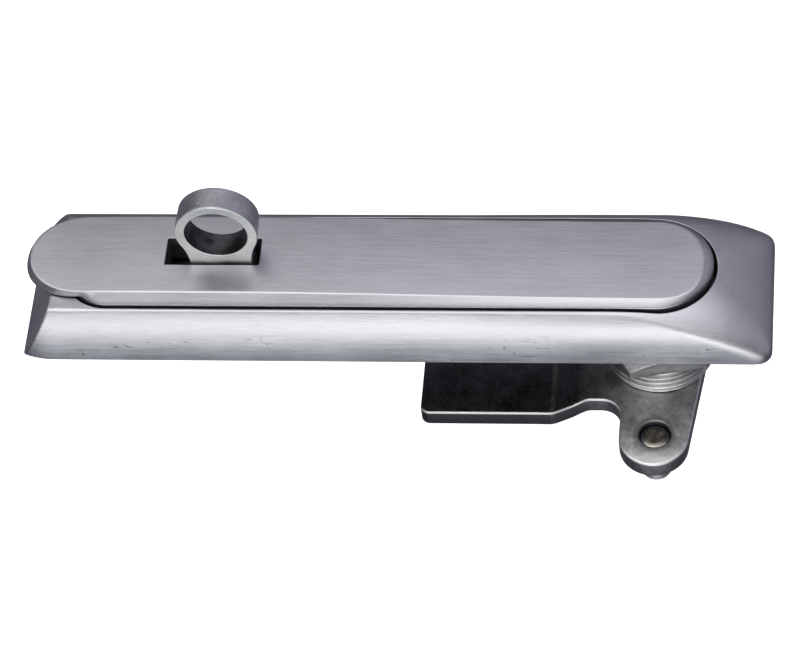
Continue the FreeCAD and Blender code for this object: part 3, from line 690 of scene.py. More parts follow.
def make_handle_bar(sizes):
    """The handle: one closed surface of rings from the padlock slot out over the top, down the bevel, in
    under the lip, down the bar's wall and back under to the slot. Round the spindle the flat side bevels
    meet an end whose outline runs from a squarer ellipse at the top to a circle at the foot."""
    foot, dx, dy = spine_columns(ends=150, side=120)
    round_end = arc_points((0.0, 0.0), TOP_HALF, -90, 90, 90)
    top_outline = np.vstack([round_end, lip_outline(*LIP_ABOVE, -50.0)[2:]])
    top = reach_of(top_outline, foot, dx, dy)
    bar = reach_of(bar_outline(), foot, dx, dy)
    lip = reach_of(lip_outline(*LIP_BELOW, LIP_START), foot, dx, dy)
    lip = np.where(foot > LIP_START, 0.0, lip)
    soft = 0.5
    lipped = np.clip(0.5 + 0.5 * (lip - bar) / soft, 0.0, 1.0)
    low = lip * lipped + bar * (1.0 - lipped) + soft * lipped * (1.0 - lipped)
    low_z = HOUSING_TOP + 0.02 + (LIP_UNDER - HOUSING_TOP) * lipped
    wall = np.minimum(bar, low - 0.02)
    wall_z = low_z - 0.02 - 0.9 * (1.0 - lipped)
    right = (foot > -0.01) & (dx > 1e-6)
    foot_reach = RECESS_HALF - HANDLE_GAP
    foot_half = foot_reach - HANDLE_BACK * (dy > 0.0)

    def bevel_reach(t):
        """How far out the bevel stands part of the way down. At the right it is a rounded box whose power
        falls from the top to the circle at the foot."""
        long = END_REACH + (foot_reach - END_REACH) * t
        wide = TOP_HALF + (foot_half - TOP_HALF) * t
        bend = np.where(dy > 0.0, BEND_BACK, BEND_FRONT) * (1.0 - t ** 1.5) + BEND_FOOT * t ** 1.5
        end = ((np.abs(dx) / long) ** bend + (np.abs(dy) / wide) ** bend) ** (-1.0 / bend)
        return np.where(right, np.minimum(end, bar), top + (low - top) * t)

    def on_top(ring):
        """The ring lifted onto the handle's top."""
        ring[:, 2] = handle_top_height(ring)
        return ring

    top_ring = on_top(column_points(foot, dx, dy, bevel_reach(0.0), 0.0))
    top_z = top_ring[:, 2]
    slot_top = on_top(slot_ring(top_ring, 0.0))
    top_shares = np.linspace(0.0, 1.0, 12)[1:-1]
    rings = [slot_ring(top_ring, HANDLE_UNDER), slot_top]
    rings += [on_top(slot_top + t * (top_ring - slot_top)) for t in top_shares]
    rings.append(top_ring)
    for t in (0.26, 0.5, 0.7):
        rings.append(column_points(foot, dx, dy, bevel_reach(t), top_z - t * (top_z - low_z)))
    rings.append(column_points(foot, dx, dy, low, low_z))
    rings += [column_points(foot, dx, dy, wall, z) for z in (wall_z, HANDLE_UNDER)]
    radii = [0.15, sizes.slot_edge / MM] + [0.0] * len(top_shares)
    radii += [sizes.edge / MM, 0.15, 0.15, 0.15, sizes.foot_edge / MM, 0.0, 0.3]
    piece = ring_piece("handle_bar", soften(rings, radii, steps=5))
    carve_handle_underside(piece)
    return piece


def carve_handle_underside(piece):
    """Joins the ears, then cuts the tongue's pocket, the cast hollows and the relief under the round end.
    The relief's slope comes level, just over the recess's floor, when the handle is fully lifted."""
    profile = [(TIP, -LUG_HALF), (LUG_RADIUS, -LUG_HALF), (LUG_RADIUS, LUG_HALF), (TIP, LUG_HALF)]
    ears = turned("ears", profile, [0, 0.3, 0.3, 0])
    carve(piece, [lay_across(ears, PIVOT_Z)], "UNION")
    cutters = [outline_block("pocket", rounded_box(-3.9, 4.9, -3.3, 3.3, 0.4), 3.0, 11.35)]
    for index, (x0, x1) in enumerate([(-108.725, SLOT[0] - 2.6), (SLOT[1] + 2.6, -9.1)]):
        hollow = rounded_box(x0, x1, -8.55, 8.55, 2.6)
        cutters.append(outline_block(f"hollow_{index}", hollow, HANDLE_UNDER - 1, 10.95))
    angle = math.radians(HANDLE_LIFT)
    clear = FLOOR + 0.3
    start = (PIVOT_Z - clear) / math.sin(angle) - (PIVOT_Z - HANDLE_UNDER) / math.tan(angle)
    end = 13.2
    under = HANDLE_UNDER - 1
    rise = HANDLE_UNDER + (end - start) * math.tan(angle)
    wedge = [(start, under), (end, under), (end, rise), (start, HANDLE_UNDER)]
    cutters.append(lay_across(outline_block("relief", wedge, -12.5, 12.5)))
    carve(piece, cutters)
    carve(piece, [lay_across(drill("pin_hole", PIVOT_RADIUS, -14.0, 14.0, around=48), PIVOT_Z)])


# The padlock eye
def eye_outline():
    """The eye from the front: a round head, two hollow flanks tangent to it, and an upright foot."""
    count = 72
    half = EYE_FOOT / 2.0
    bottom = FLOOR + 0.6
    flank_x = half + EYE_FLANK
    drop = math.sqrt((EYE_RADIUS + EYE_FLANK) ** 2 - flank_x ** 2)
    lean = math.degrees(math.atan2(drop, flank_x))
    head = arc_points((0.0, EYE_Z), EYE_RADIUS, -lean, 180.0 + lean, 2 * count)
    left = arc_points((-flank_x, EYE_Z - drop), EYE_FLANK, lean, 0.0, count // 2)
    right = arc_points((flank_x, EYE_Z - drop), EYE_FLANK, 180.0, 180.0 - lean, count // 2)
    down = np.linspace(EYE_Z - drop, bottom, 13)
    foot_left = np.stack([np.full(12, -half), down[1:]], axis=-1)
    foot_low = np.stack([np.linspace(-half, half, 20)[1:-1], np.full(18, bottom)], axis=-1)
    foot_right = np.stack([np.full(12, half), down[:0:-1]], axis=-1)
    return np.vstack([head, left[1:], foot_left, foot_low, foot_right, right[:-1]])


def make_eye_ring():
    """The padlock eye: rings over the outline's front edge, its side, its back edge and the hole's wall."""
    outline = eye_outline()
    front, back = EYE_Y - EYE_THICK / 2.0, EYE_Y + EYE_THICK / 2.0
    bearing = np.arctan2(outline[:, 1] - EYE_Z, outline[:, 0])
    hole = np.stack([EYE_HOLE * np.cos(bearing), EYE_Z + EYE_HOLE * np.sin(bearing)], axis=-1)

    def ring(shape, y):
        """The shape's points at one depth."""
        return np.stack([EYE_X + shape[:, 0], np.full(len(shape), y), shape[:, 1]], axis=-1)

    smaller = outline * np.array([0.985, 1.0])
    smaller[:, 1] = np.where(outline[:, 1] > EYE_Z, EYE_Z + (outline[:, 1] - EYE_Z) * 0.975, outline[:, 1])
    rings = [ring(hole, front), ring(outline, front), ring(smaller, back), ring(hole, back)]
    piece = ring_piece("padlock_ring", soften(rings, [0.35, 0.3, 0.35, 0.35], steps=5))
    mark_faces(piece, lambda middle, normal: np.abs(normal[:, 1]) > 0.8)
    return piece


def make_eye_base():
    """The plate that carries the eye on the recess floor."""
    outline = rounded_box(EYE_X - 13.5, EYE_X + 13.5, EYE_Y - 5.5, EYE_Y + 5.5, 2.0)
    plate = outline_block("padlock_base", outline, FLOOR, FLOOR + 3.4)
    bevel(plate, 0.3, 2)
    apply_modifiers(plate)
    edge_sharpness(plate)
    return plate


def make_eye_screws():
    """The two countersunk screws with a hexagon socket, seen from under the housing."""
    made = []
    for number, x in enumerate(EYE_SCREWS):
        profile = [(TIP, 0.0), (3.75, 0.0), (2.0, 1.8), (2.0, 5.4), (TIP, 5.4)]
        screw = turned(f"eye_screw_{number}", profile, [0, 0.12, 0.1, 0.2, 0], 72, (x, EYE_Y))
        hexagon = arc_points((x, EYE_Y), 1.4, 0.0, 300.0, 6)
        carve(screw, [outline_block(f"socket_{number}", hexagon, -1.0, 1.1)])
        edge_sharpness(screw)
        made.append(screw)
    return made


# The nut, the cam and what is on them
def hexagon_reach(angle, flats, turn=0.0):
    """Distance from a hexagon's middle to its side at bearing a: flats / 2 / cos((a - turn) mod 60 - 30)."""
    return flats / 2.0 / np.cos((angle - turn) % (math.pi / 3.0) - math.pi / 6.0)


def make_nut(sizes):
    """The thin hexagon nut, with a cone that breaks the upper corners."""
    flats, radius = sizes.nut_flats / MM, sizes.radius / MM
    low, high = (corner[2] for corner in node_box("mounting_nut"))
    angle = full_turn(240)
    reach = hexagon_reach(angle, flats, math.radians(NUT_TURN))
    fall = np.maximum(reach - (flats / 2.0 - 0.05), 0.0)
    bore, lip = radius - 0.35, radius + 0.25
    profile = [(bore, low + 0.6), (lip, low), (reach - 0.25, low), (reach, low + 0.15), (reach, high - fall)]
    profile += [(flats / 2.0 - 0.25, high), (lip, high), (bore, high - 0.6)]
    rings = [polar_ring(angle, r, z) for r, z in profile]
    return ring_piece("nut_hexagon", soften(rings, [0.05, 0.1, 0.1, 0.1, 0.25, 0.15, 0.1, 0.05]))


def cam_outline():
    """The flattened cam seen from above: tongue, fillet, tapered ear, hub and shoulder."""
    fillet = 4.0
    down = math.atan2(EAR_Y, EAR_X)
    side = math.pi / 2 - math.asin((HUB_RADIUS - EAR_RADIUS) / math.hypot(EAR_X, EAR_Y))
    right = math.degrees(down + side)
    corner = rounded_box(TONGUE_LEFT, 0.0, -TONGUE_HALF, TONGUE_HALF, 1.8, 7)
    tongue_back = corner[14:21]
    tongue_front = corner[21:28]
    bend = arc_points((EAR_X - EAR_RADIUS - fillet + 0.05, -TONGUE_HALF - fillet), fillet, 90.0, 0.0, 12)
    tip = arc_points((EAR_X, EAR_Y), EAR_RADIUS, -180.0, right, 40)
    hub = arc_points((0.0, 0.0), HUB_RADIUS, right, 0.0, 6)
    angle = np.radians(np.linspace(0.0, 90.0, 24))[1:]
    shoulder = np.stack([HUB_RADIUS * np.cos(angle), TONGUE_HALF * np.sin(angle)], axis=-1)
    return np.vstack([tongue_front, bend, tip, hub, shoulder, tongue_back])


def make_cam():
    """The cam: a plate with its rim rounded, sliced across and bent down by the drop times a smooth step of
    x.
    The tongue's front edge is drawn out a little, in a slow wave."""
    piece = outline_block("cam_plate", cam_outline(), CAM_TOP - CAM_THICK, CAM_TOP)
    low, high = CAM_TOP - 13.4, CAM_TOP + 6.6
    hole = rounded_box(-SQUARE_HALF, SQUARE_HALF, -SQUARE_HALF, SQUARE_HALF, 0.8, 5)
    square = outline_block("square", hole, low, high)
    carve(piece, [square, drill("rod_hole", ROD_HOLE, low, high, (ROD_X, ROD_Y))])
    bevel(piece, 0.7, 4)
    apply_modifiers(piece)
    mesh = piece.data
    work = bmesh.new()
    work.from_mesh(mesh)
    for x in np.linspace(BEND_START - BEND_RUN - 2.7, BEND_START + 2.5, 40):
        every = work.verts[:] + work.edges[:] + work.faces[:]
        bmesh.ops.bisect_plane(work, geom=every, plane_co=(x * MM, 0, 0), plane_no=(1, 0, 0))
    work.to_mesh(mesh)
    work.free()
    points = np.zeros(len(mesh.vertices) * 3, np.float32)
    mesh.vertices.foreach_get("co", points)
    points = points.reshape(-1, 3)
    t = np.clip((BEND_START - points[:, 0] / MM) / BEND_RUN, -0.2, 1.2)
    soft = 0.10
    ramp = np.clip(t, 0.0, 1.0)
    ramp = np.where(t < soft, np.maximum(t + soft, 0.0) ** 2 / (4 * soft), ramp)
    ramp = np.where(t > 1 - soft, 1 - np.maximum(1 - t + soft, 0.0) ** 2 / (4 * soft), ramp)
    points[:, 2] -= (TONGUE_DROP * ramp * MM).astype(np.float32)
    wave = 0.24 * np.cos((points[:, 0] / MM + 46.0) * TURN / 24.0) + 0.34
    front = smooth((-6.0 - points[:, 1] / MM) / 3.0) * smooth(t * 2.0)
    points[:, 1] -= (front * wave * MM).astype(np.float32)
    mesh.vertices.foreach_set("co", points.ravel())
    mesh.update()
    edge_sharpness(piece, 40.0)
    return piece


def make_rod_pin():
    """The rod pin, turned: a round-edged head in the hole, a collar under the ear and a plain broken end."""
    under = CAM_TOP - CAM_THICK
    head = under + 3.0
    end = under - 7.9
    profile = [(TIP, head - 0.1), (1.9, head - 0.05), (2.9, head - 0.5), (2.95, head - 1.4), (2.95, under)]
    profile += [(4.6, under), (4.6, under - 1.6), (3.0, under - 1.6), (3.0, end + 0.5)]
    profile += [(2.5, end), (TIP, end)]
    radii = [0, 0.5, 0.45, 0.2, 0.05, 0.25, 0.25, 0.25, 0.2, 0.2, 0]
    return turned("rod_pin_turned", profile, radii, 96, (ROD_X, ROD_Y))


def make_bolt():
    """The cam bolt's hexagon head with its chamfer, and the shank above it."""
    bottom, top = (corner[2] for corner in node_box("cam_bolt"))
    angle = full_turn(144)
    reach = hexagon_reach(angle, BOLT_FLATS)
    rise = np.maximum(reach - BOLT_FLATS / 2.0 + 0.05, 0.0) * 0.62
    profile = [(0.05, bottom), (4.7, bottom), (reach, bottom + rise), (reach, bottom + BOLT_HEAD)]
    profile += [(3.0, bottom + BOLT_HEAD), (3.0, top), (0.05, top)]
    rings = [polar_ring(angle, r, z) for r, z in profile]
    radii = [0, 0.15, 0.12, 0.12, 0.1, 0.3, 0]
    return ring_piece("bolt_head", soften(rings, radii, closed=False), closed=False)


def washer_corners(node, inner, outer):
    """The four corners (r, z) of a washer's section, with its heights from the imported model."""
    low, high = (corner[2] for corner in node_box(node))
    return [(inner, low), (outer, low), (outer, high), (inner, high)]


def make_washers():
    """The cam's flat washer, and its spring washer with a narrow gap between its two ends."""
    flat_corners = washer_corners("cam_washer", 3.2, 6.2)
    flat = turned("washer_flat", flat_corners, [0.1, 0.2, 0.2, 0.1], 96, closed=True)
    corners = np.array(washer_corners("cam_spring_washer", 3.1, 5.3))
    section = soften(corners[:, None, :], [0.12] * 4)[:, 0, :]
    gap = math.asin(0.5 / 4.2)
    angle = TURN / 4.0 + np.linspace(gap, TURN - gap, 90)
    rings = polar_ring(angle[:, None], section[:, 0], section[:, 1])
    return flat, ring_piece("washer_spring", rings, closed=False)


# Metals
class Nodes:
    """A short hand for building one material's node tree."""

    def __init__(self, name):
        self.material = bpy.data.materials.new(name)
        self.material.use_nodes = True
        self.tree = self.material.node_tree
        self.tree.nodes.clear()
        self.shader = self.add("ShaderNodeBsdfPrincipled")
        self.link(self.shader.outputs["BSDF"], self.add("ShaderNodeOutputMaterial").inputs["Surface"])
        self.place = self.add("ShaderNodeTexCoord").outputs["Object"]

    def add(self, kind, **values):
        """Adds a node and sets its plain values."""
        node = self.tree.nodes.new(kind)
        for key, value in values.items():
            setattr(node, key, value)
        return node

    def link(self, start, end):
        """Joins an output to an input."""
        self.tree.links.new(start, end)

    def give(self, socket, value):
        """Sets a plain number on an input, or joins an output to it."""
        if isinstance(value, (int, float)):
            socket.default_value = value
        else:
            self.link(value, socket)

    def axes(self, vector):
        """A vector's three parts."""
        node = self.add("ShaderNodeSeparateXYZ")
        self.link(vector, node.inputs[0])
        return node.outputs

    def noise(self, scale, detail=4.0, rough=0.6):
        """A noise pattern over the object's coordinates, with one scale or one for each axis."""
        spread = self.add("ShaderNodeMapping")
        spread.inputs["Scale"].default_value = scale if isinstance(scale, tuple) else (scale, scale, scale)
        self.link(self.place, spread.inputs["Vector"])
        node = self.add("ShaderNodeTexNoise")
        node.inputs["Scale"].default_value = 1.0
        node.inputs["Detail"].default_value = detail
        node.inputs["Roughness"].default_value = rough
        self.link(spread.outputs["Vector"], node.inputs["Vector"])
        return node.outputs["Fac"]

    def remap(self, value, low, high, out_low=0.0, out_high=1.0):
        """Maps one range onto another, clamped."""
        node = self.add("ShaderNodeMapRange")
        for key, number in zip(("From Min", "From Max", "To Min", "To Max"), (low, high, out_low, out_high)):
            node.inputs[key].default_value = number
        self.link(value, node.inputs["Value"])
        return node.outputs["Result"]

    def maths(self, operation, first, second):
        """One sum of two values."""
        node = self.add("ShaderNodeMath", operation=operation)
        self.give(node.inputs[0], first)
        self.give(node.inputs[1], second)
        return node.outputs[0]

    def times(self, first, second):
        """The product of two values."""
        return self.maths("MULTIPLY", first, second)

    def blend(self, first, part, second):
        """The first value by its part, and the second by the rest."""
        return self.maths("ADD", self.times(first, part), self.times(second, 1.0 - part))

    def mix(self, value, first, second):
        """A colour between two, by a value. Each is a plain colour or an output."""
        node = self.add("ShaderNodeMix", data_type="RGBA")
        self.link(value, node.inputs["Factor"])
        for name, colour_value in (("A", first), ("B", second)):
            if isinstance(colour_value, tuple):
                node.inputs[name].default_value = (*colour_value, 1.0)
            else:
                self.link(colour_value, node.inputs[name])
        return node.outputs["Result"]

    def mottle(self, value, low, high, colour_value, dark, light):
        """A colour that runs from dark to light, as factors of it, while the value runs from low to high."""
        return self.mix(self.remap(value, low, high), tinted(colour_value, dark), tinted(colour_value, light))

    def away_from(self, line, axis):
        """Distance, in metres, from the line along an axis through a point given in millimetres."""
        flat = self.add("ShaderNodeVectorMath", operation="MULTIPLY")
        flat.inputs[1].default_value = [float(index != axis) for index in range(3)]
        self.link(self.place, flat.inputs[0])
        away = self.add("ShaderNodeVectorMath", operation="DISTANCE")
        away.inputs[1].default_value = [number * MM for number in line]
        self.link(flat.outputs["Vector"], away.inputs[0])
        return away.outputs["Value"]

    def finished(self, base, rough, height, strength, distance, metallic=1.0):
        """Joins colour, roughness and a bump of a height to the shader, and gives the material."""
        node = self.add("ShaderNodeBump")
        node.inputs["Strength"].default_value = strength
        node.inputs["Distance"].default_value = distance
        self.link(height, node.inputs["Height"])
        self.link(node.outputs["Normal"], self.shader.inputs["Normal"])
        self.link(base, self.shader.inputs["Base Color"])
        self.link(rough, self.shader.inputs["Roughness"])
        self.shader.inputs["Metallic"].default_value = metallic
        return self.material


def tinted(colour_value, factor):
    """A colour made lighter or darker."""
    return tuple(min(1.0, channel * factor) for channel in colour_value)


def brushed_steel(finish):
    """Satin stainless brushed along the X axis: fine streaks, broad bands and cloudy patches.
    Low on the sides it has dark specks and a few short scratches, and painted shade lies at the bevel's foot."""
    kit = Nodes("brushed_stainless")
    fine = kit.noise((240.0, 7500.0, 7500.0), 3.0, 0.75)
    broad = kit.noise((60.0, 2200.0, 2200.0))
    cloud = kit.noise((60.0, 110.0, 110.0), 6.0, 0.65)
    speck = kit.remap(kit.noise((750.0, 1100.0, 1100.0), 3.0, 0.55), 0.625, 0.69)
    scratch = kit.remap(kit.noise((140.0, 2600.0, 2600.0), 1.0, 0.4), 0.67, 0.75)
    patch = kit.remap(kit.noise((60.0, 120.0, 120.0), 2.0), 0.44, 0.58)
    place = kit.axes(kit.place)
    low = kit.times(kit.remap(place["Z"], 0.0080, 0.0035), kit.remap(place["X"], 0.015, 0.012))
    marks = kit.times(kit.maths("MAXIMUM", speck, scratch), kit.times(patch, low))
    grain = kit.blend(fine, 0.55, broad)
    contrast = kit.maths("ADD", kit.times(low, 3.5), 2.1)
    shade = kit.times(kit.maths("SUBTRACT", kit.blend(grain, 0.65, cloud), 0.5), contrast)
    base = kit.mottle(shade, -0.5, 0.5, finish.brushed, 0.76, 1.22)
    rail = HOUSING_TOP * MM
    # Painted shade at the handle bevel's foot, from just over the rails up 0.8 mm; the specks and scratches
    # it joins are wear
    over_rail = kit.remap(place["Z"], rail + 0.00001, rail + 0.00004)
    painted_foot_shade = kit.times(kit.remap(place["Z"], rail + 0.0008, rail + 0.00005, 0.0, 0.75), over_rail)
    base = kit.mix(kit.maths("MAXIMUM", marks, painted_foot_shade), base, tinted(finish.brushed, 0.42))
    rough = kit.remap(kit.blend(cloud, 0.5, broad), 0.3, 0.7, 0.27, 0.43)
    height = kit.maths("SUBTRACT", grain, marks)
    return kit.finished(base, rough, height, 0.45 * (0.5 + finish.grain), 0.00008)


def inside_shade_steel(finish):
    """The unpolished inside of the recess and the handle: dull and sandy, and painted dark for the shade
    there.
    """
    kit = Nodes("inside_painted_shade")
    fine = kit.noise(1500.0, 4.0, 0.7)
    cloud = kit.noise(200.0, 5.0)
    # The near black colour is painted shade
    base = kit.mottle(cloud, 0.35, 0.65, finish.cast, 0.7, 1.5)
    return kit.finished(base, kit.remap(fine, 0.3, 0.7, 0.5, 0.7), fine, 0.4, 0.00008)


def satin_steel(finish):
    """Fine-blasted steel for the padlock eye, with a few small pits."""
    kit = Nodes("satin_eye_steel")
    fine = kit.noise(2600.0, 3.0)
    cloud = kit.noise(160.0, 5.0, 0.62)
    pit = kit.remap(kit.noise(520.0, 3.0, 0.5), 0.70, 0.76)
    base = kit.mottle(kit.blend(fine, 0.35, cloud), 0.36, 0.64, finish.eye, 0.84, 1.14)
    rough = kit.remap(cloud, 0.3, 0.7, 0.36, 0.5)
    return kit.finished(base, rough, kit.maths("SUBTRACT", fine, kit.times(pit, 1.2)), 0.4, 0.00006)


def blasted_steel(finish):
    """Darker, rougher blasted steel for the eye's curved faces, with a few pits, and the hole's wall painted
    near black for shade.
    """
    kit = Nodes("blasted_eye_steel")
    fine = kit.noise(2200.0, 4.0, 0.65)
    cloud = kit.noise(240.0, 5.0)
    pit = kit.remap(kit.noise(430.0, 1.0, 0.4), 0.70, 0.75)
    side = kit.mottle(kit.blend(fine, 0.5, cloud), 0.36, 0.64, finish.eye_side, 0.78, 1.2)
    # Painted shade: the hole's wall is near black
    hole = kit.mottle(cloud, 0.4, 0.6, finish.eye_side, 0.06, 0.2)
    inside = kit.remap(kit.away_from((EYE_X, 0.0, EYE_Z), 1), 0.0066, 0.0062)
    rough = kit.remap(cloud, 0.3, 0.7, 0.34, 0.46)
    height = kit.maths("SUBTRACT", fine, kit.times(pit, 1.5))
    return kit.finished(kit.mix(inside, side, hole), rough, height, 0.45, 0.00007)


def dark_cam(finish):
    """Tumbled steel: near black on the tongue, a paler mottled grey over the hub and the ear, partly wear and
    partly painted light: painted shade on the tongue under the housing, painted light on the ear. The walls
    are dark, painted shade rings the rod pin's hole, the front edges carry a painted highlight, and a narrow
    paler line runs along the bend's crease."""
    kit = Nodes("tumbled_cam_steel")
    fine = kit.noise(1300.0, 5.0, 0.75)
    cloud = kit.noise(230.0, 6.0, 0.7)
    shade = kit.remap(kit.blend(fine, 0.45, cloud), 0.38, 0.62)
    x = kit.axes(kit.place)["X"]
    facing = kit.axes(kit.add("ShaderNodeNewGeometry").outputs["Normal"])
    from_pin = kit.away_from((ROD_X, ROD_Y, 0.0), 2)
    # Tongue to ear: partly tone, partly painted shade on the tongue and painted light on the ear
    tongue = kit.mix(shade, tinted(finish.cam_dark_and_shade, 0.5), tinted(finish.cam_dark_and_shade, 1.7))
    ear = kit.mix(shade, tinted(finish.cam_ear_wear_and_light, 0.7), tinted(finish.cam_ear_wear_and_light, 1.3))
    base = kit.mix(kit.remap(x, -0.0165, -0.0085), tongue, ear)
    # Painted shade round the rod pin's hole
    base = kit.mix(kit.remap(from_pin, 0.0046, 0.0031, 0.0, 0.85), base, tinted(finish.cam_dark_and_shade, 1.2))
    base = kit.mix(kit.remap(facing["Z"], 0.12, 0.5, 0.65, 0.0), base, tinted(finish.cam_dark_and_shade, 1.0))
    # Painted highlight on the edges that face the front and up, away from the pin's hole
    front = kit.times(kit.remap(facing["Y"], -0.10, -0.35), kit.remap(facing["Z"], 0.22, 0.5))
    painted_front_highlight = kit.times(kit.times(front, kit.remap(from_pin, 0.0041, 0.0045)), 0.9)
    from_bend = kit.maths("ABSOLUTE", kit.maths("SUBTRACT", x, (BEND_START - BEND_RUN) * MM), 0.0)
    crease = kit.times(kit.remap(from_bend, 0.0007, 0.0001, 0.0, 0.22), shade)
    base = kit.mix(kit.maths("MAXIMUM", painted_front_highlight, crease), base, tinted(finish.turned, 1.2))
    return kit.finished(base, kit.remap(shade, 0.0, 1.0, 0.36, 0.5), fine, 0.4, 0.0001)


def pin_steel(finish):
    """Oiled dark steel with brownish patches, worn bright at its shoulder, for the rod pin."""
    kit = Nodes("oiled_pin_steel")
    fine = kit.noise(1200.0, 4.0, 0.7)
    oiled = kit.mottle(kit.noise(420.0, 5.0, 0.65), 0.38, 0.62, finish.pin, 0.6, 1.7)
    shoulder = kit.remap(kit.away_from((ROD_X, ROD_Y, 0.0), 2), 0.0023, 0.0026)
    base = kit.mix(shoulder, oiled, tinted(finish.turned, 1.2))
    return kit.finished(base, kit.remap(fine, 0.3, 0.7, 0.26, 0.42), fine, 0.35, 0.00007)


def turned_steel(finish):
    """Plain turned steel with fine rings up the Z axis and small marks."""
    kit = Nodes("turned_steel")
    rings = kit.noise((40.0, 40.0, 5200.0), 2.0)
    cloud = kit.noise(220.0)
    base = kit.mottle(kit.blend(rings, 0.5, cloud), 0.36, 0.64, finish.turned, 0.78, 1.18)
    return kit.finished(base, kit.remap(cloud, 0.3, 0.7, 0.24, 0.4), rings, 0.3, 0.00005)


def nut_steel(finish):
    """Duller rolled steel of the mounting nut, with scuffs and small pits."""
    kit = Nodes("rolled_nut_steel")
    fine = kit.noise((900.0, 900.0, 1800.0), 5.0, 0.7)
    cloud = kit.noise((260.0, 260.0, 420.0), 5.0, 0.65)
    base = kit.mottle(cloud, 0.36, 0.64, finish.nut, 0.65, 1.35)
    return kit.finished(base, kit.remap(fine, 0.3, 0.7, 0.3, 0.5), fine, 0.45, 0.00009)


def seal_rubber(finish):
    """Matt black rubber with a slight bloom."""
    kit = Nodes("seal_rubber")
    cloud = kit.noise(900.0)
    base = kit.mottle(cloud, 0.35, 0.65, finish.rubber, 0.8, 1.6)
    return kit.finished(base, kit.remap(cloud, 0.3, 0.7, 0.55, 0.75), cloud, 0.3, 0.00004, 0.0)


MAKERS = {
    "brushed_stainless": brushed_steel,
    "inside_shade_steel": inside_shade_steel,
    "satin_steel": satin_steel,
    "blasted_steel": blasted_steel,
    "dark_steel": dark_cam,
    "pin_steel": pin_steel,
    "turned_steel": turned_steel,
    "nut_steel": nut_steel,
    "seal_rubber": seal_rubber,
}
METALS = {}


def metal(name):
    """A material by name. Each is made once."""
    if name not in METALS:
        METALS[name] = MAKERS[name](bpy.context.scene.latch_finish)
    return METALS[name]


def dress(piece, material, body, nodes=(), second=None):
    """Gives a piece its material, its body and the nodes that it stands for."""
    marks = np.zeros(len(piece.data.polygons), np.int32)
    piece.data.polygons.foreach_get("material_index", marks)
    piece.data.materials.clear()
    for name in (material, second) if second else (material,):
        piece.data.materials.append(metal(name))
    piece.data.polygons.foreach_set("material_index", marks if second else np.zeros_like(marks))
    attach(piece, body)
    if nodes:
        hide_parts(*nodes)
    return piece


# The building steps
class LatchOperator(bpy.types.Operator):
    """Shared base of the latch's building steps."""

    bl_options = {"REGISTER", "UNDO"}


class LATCH_OT_housing(LatchOperator):
    """Build the housing's shell, its threaded boss and the end pad"""

    bl_idname = "latch.housing"
    bl_label = "Housing"

    def execute(self, context):
        shell = make_housing_shell(context.scene.latch_housing)
        carve_fixing_holes(shell)
        edge_sharpness(shell, 50.0)
        # The faces down in the recess take the second material, painted dark for shade
        mark_faces(shell, in_recess)
        dress(shell, "brushed_stainless", "housing", ["housing"], second="inside_shade_steel")
        boss = make_boss(context.scene.latch_boss)
        dress(boss, "turned_steel", "housing", ["housing"])
        dress(make_end_pad(), "brushed_stainless", "housing", ["housing"])
        return {"FINISHED"}


class LATCH_OT_handle(LatchOperator):
    """Build the folding handle"""

    bl_idname = "latch.handle"
    bl_label = "Handle"

    def execute(self, context):
        bar = make_handle_bar(context.scene.latch_handle)
        edge_sharpness(bar, 50.0)
        # The handle's wall, underside and slot take the second material, painted dark for shade
        mark_faces(bar, under_handle)
        dress(bar, "brushed_stainless", "handle", ["handle"], second="inside_shade_steel")
        return {"FINISHED"}


class LATCH_OT_padlock_eye(LatchOperator):
    """Build the padlock eye, its base plate and its two screws"""

    bl_idname = "latch.padlock_eye"
    bl_label = "Padlock eye"

    def execute(self, context):
        dress(make_eye_ring(), "blasted_steel", "housing", ["padlock_eye"], "satin_steel")
        # The base plate takes the inside material, painted dark for the shade on the recess floor
        dress(make_eye_base(), "inside_shade_steel", "housing", ["padlock_eye"])
        for screw in make_eye_screws():
            dress(screw, "turned_steel", "housing", ["padlock_eye_screws"])
        return {"FINISHED"}


class LATCH_OT_nut(LatchOperator):
    """Build the mounting nut"""

    bl_idname = "latch.nut"
    bl_label = "Mounting nut"

    def execute(self, context):
        dress(make_nut(context.scene.latch_boss), "nut_steel", "housing", ["mounting_nut"])
        return {"FINISHED"}


class LATCH_OT_cam(LatchOperator):
    """Build the cam, the rod pin, the bolt and its washers"""

    bl_idname = "latch.cam"
    bl_label = "Cam"

    def execute(self, context):
        dress(make_cam(), "dark_steel", "spindle", ["cam"])
        dress(make_rod_pin(), "pin_steel", "spindle", ["rod_pin"])
        dress(make_bolt(), "turned_steel", "spindle", ["cam_bolt"])
        flat, spring = make_washers()
        dress(flat, "turned_steel", "spindle", ["cam_washer"])
        dress(spring, "turned_steel", "spindle", ["cam_spring_washer"])
        return {"FINISHED"}


class LATCH_OT_inner_pieces(LatchOperator):
    """Give the hidden pieces, which keep their solid shapes, their own metals"""

    bl_idname = "latch.inner_pieces"
    bl_label = "Inner pieces"

    def execute(self, context):
        chosen = {
            "pivot_pin": "turned_steel",
            "spindle": "turned_steel",
            "thrust_washer": "turned_steel",
            "turn_stop_pin": "turned_steel",
            "spindle_seal": "seal_rubber",
        }
        for name, material in chosen.items():
            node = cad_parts[name]
            node.data.materials.clear()
            node.data.materials.append(metal(material))
        return {"FINISHED"}


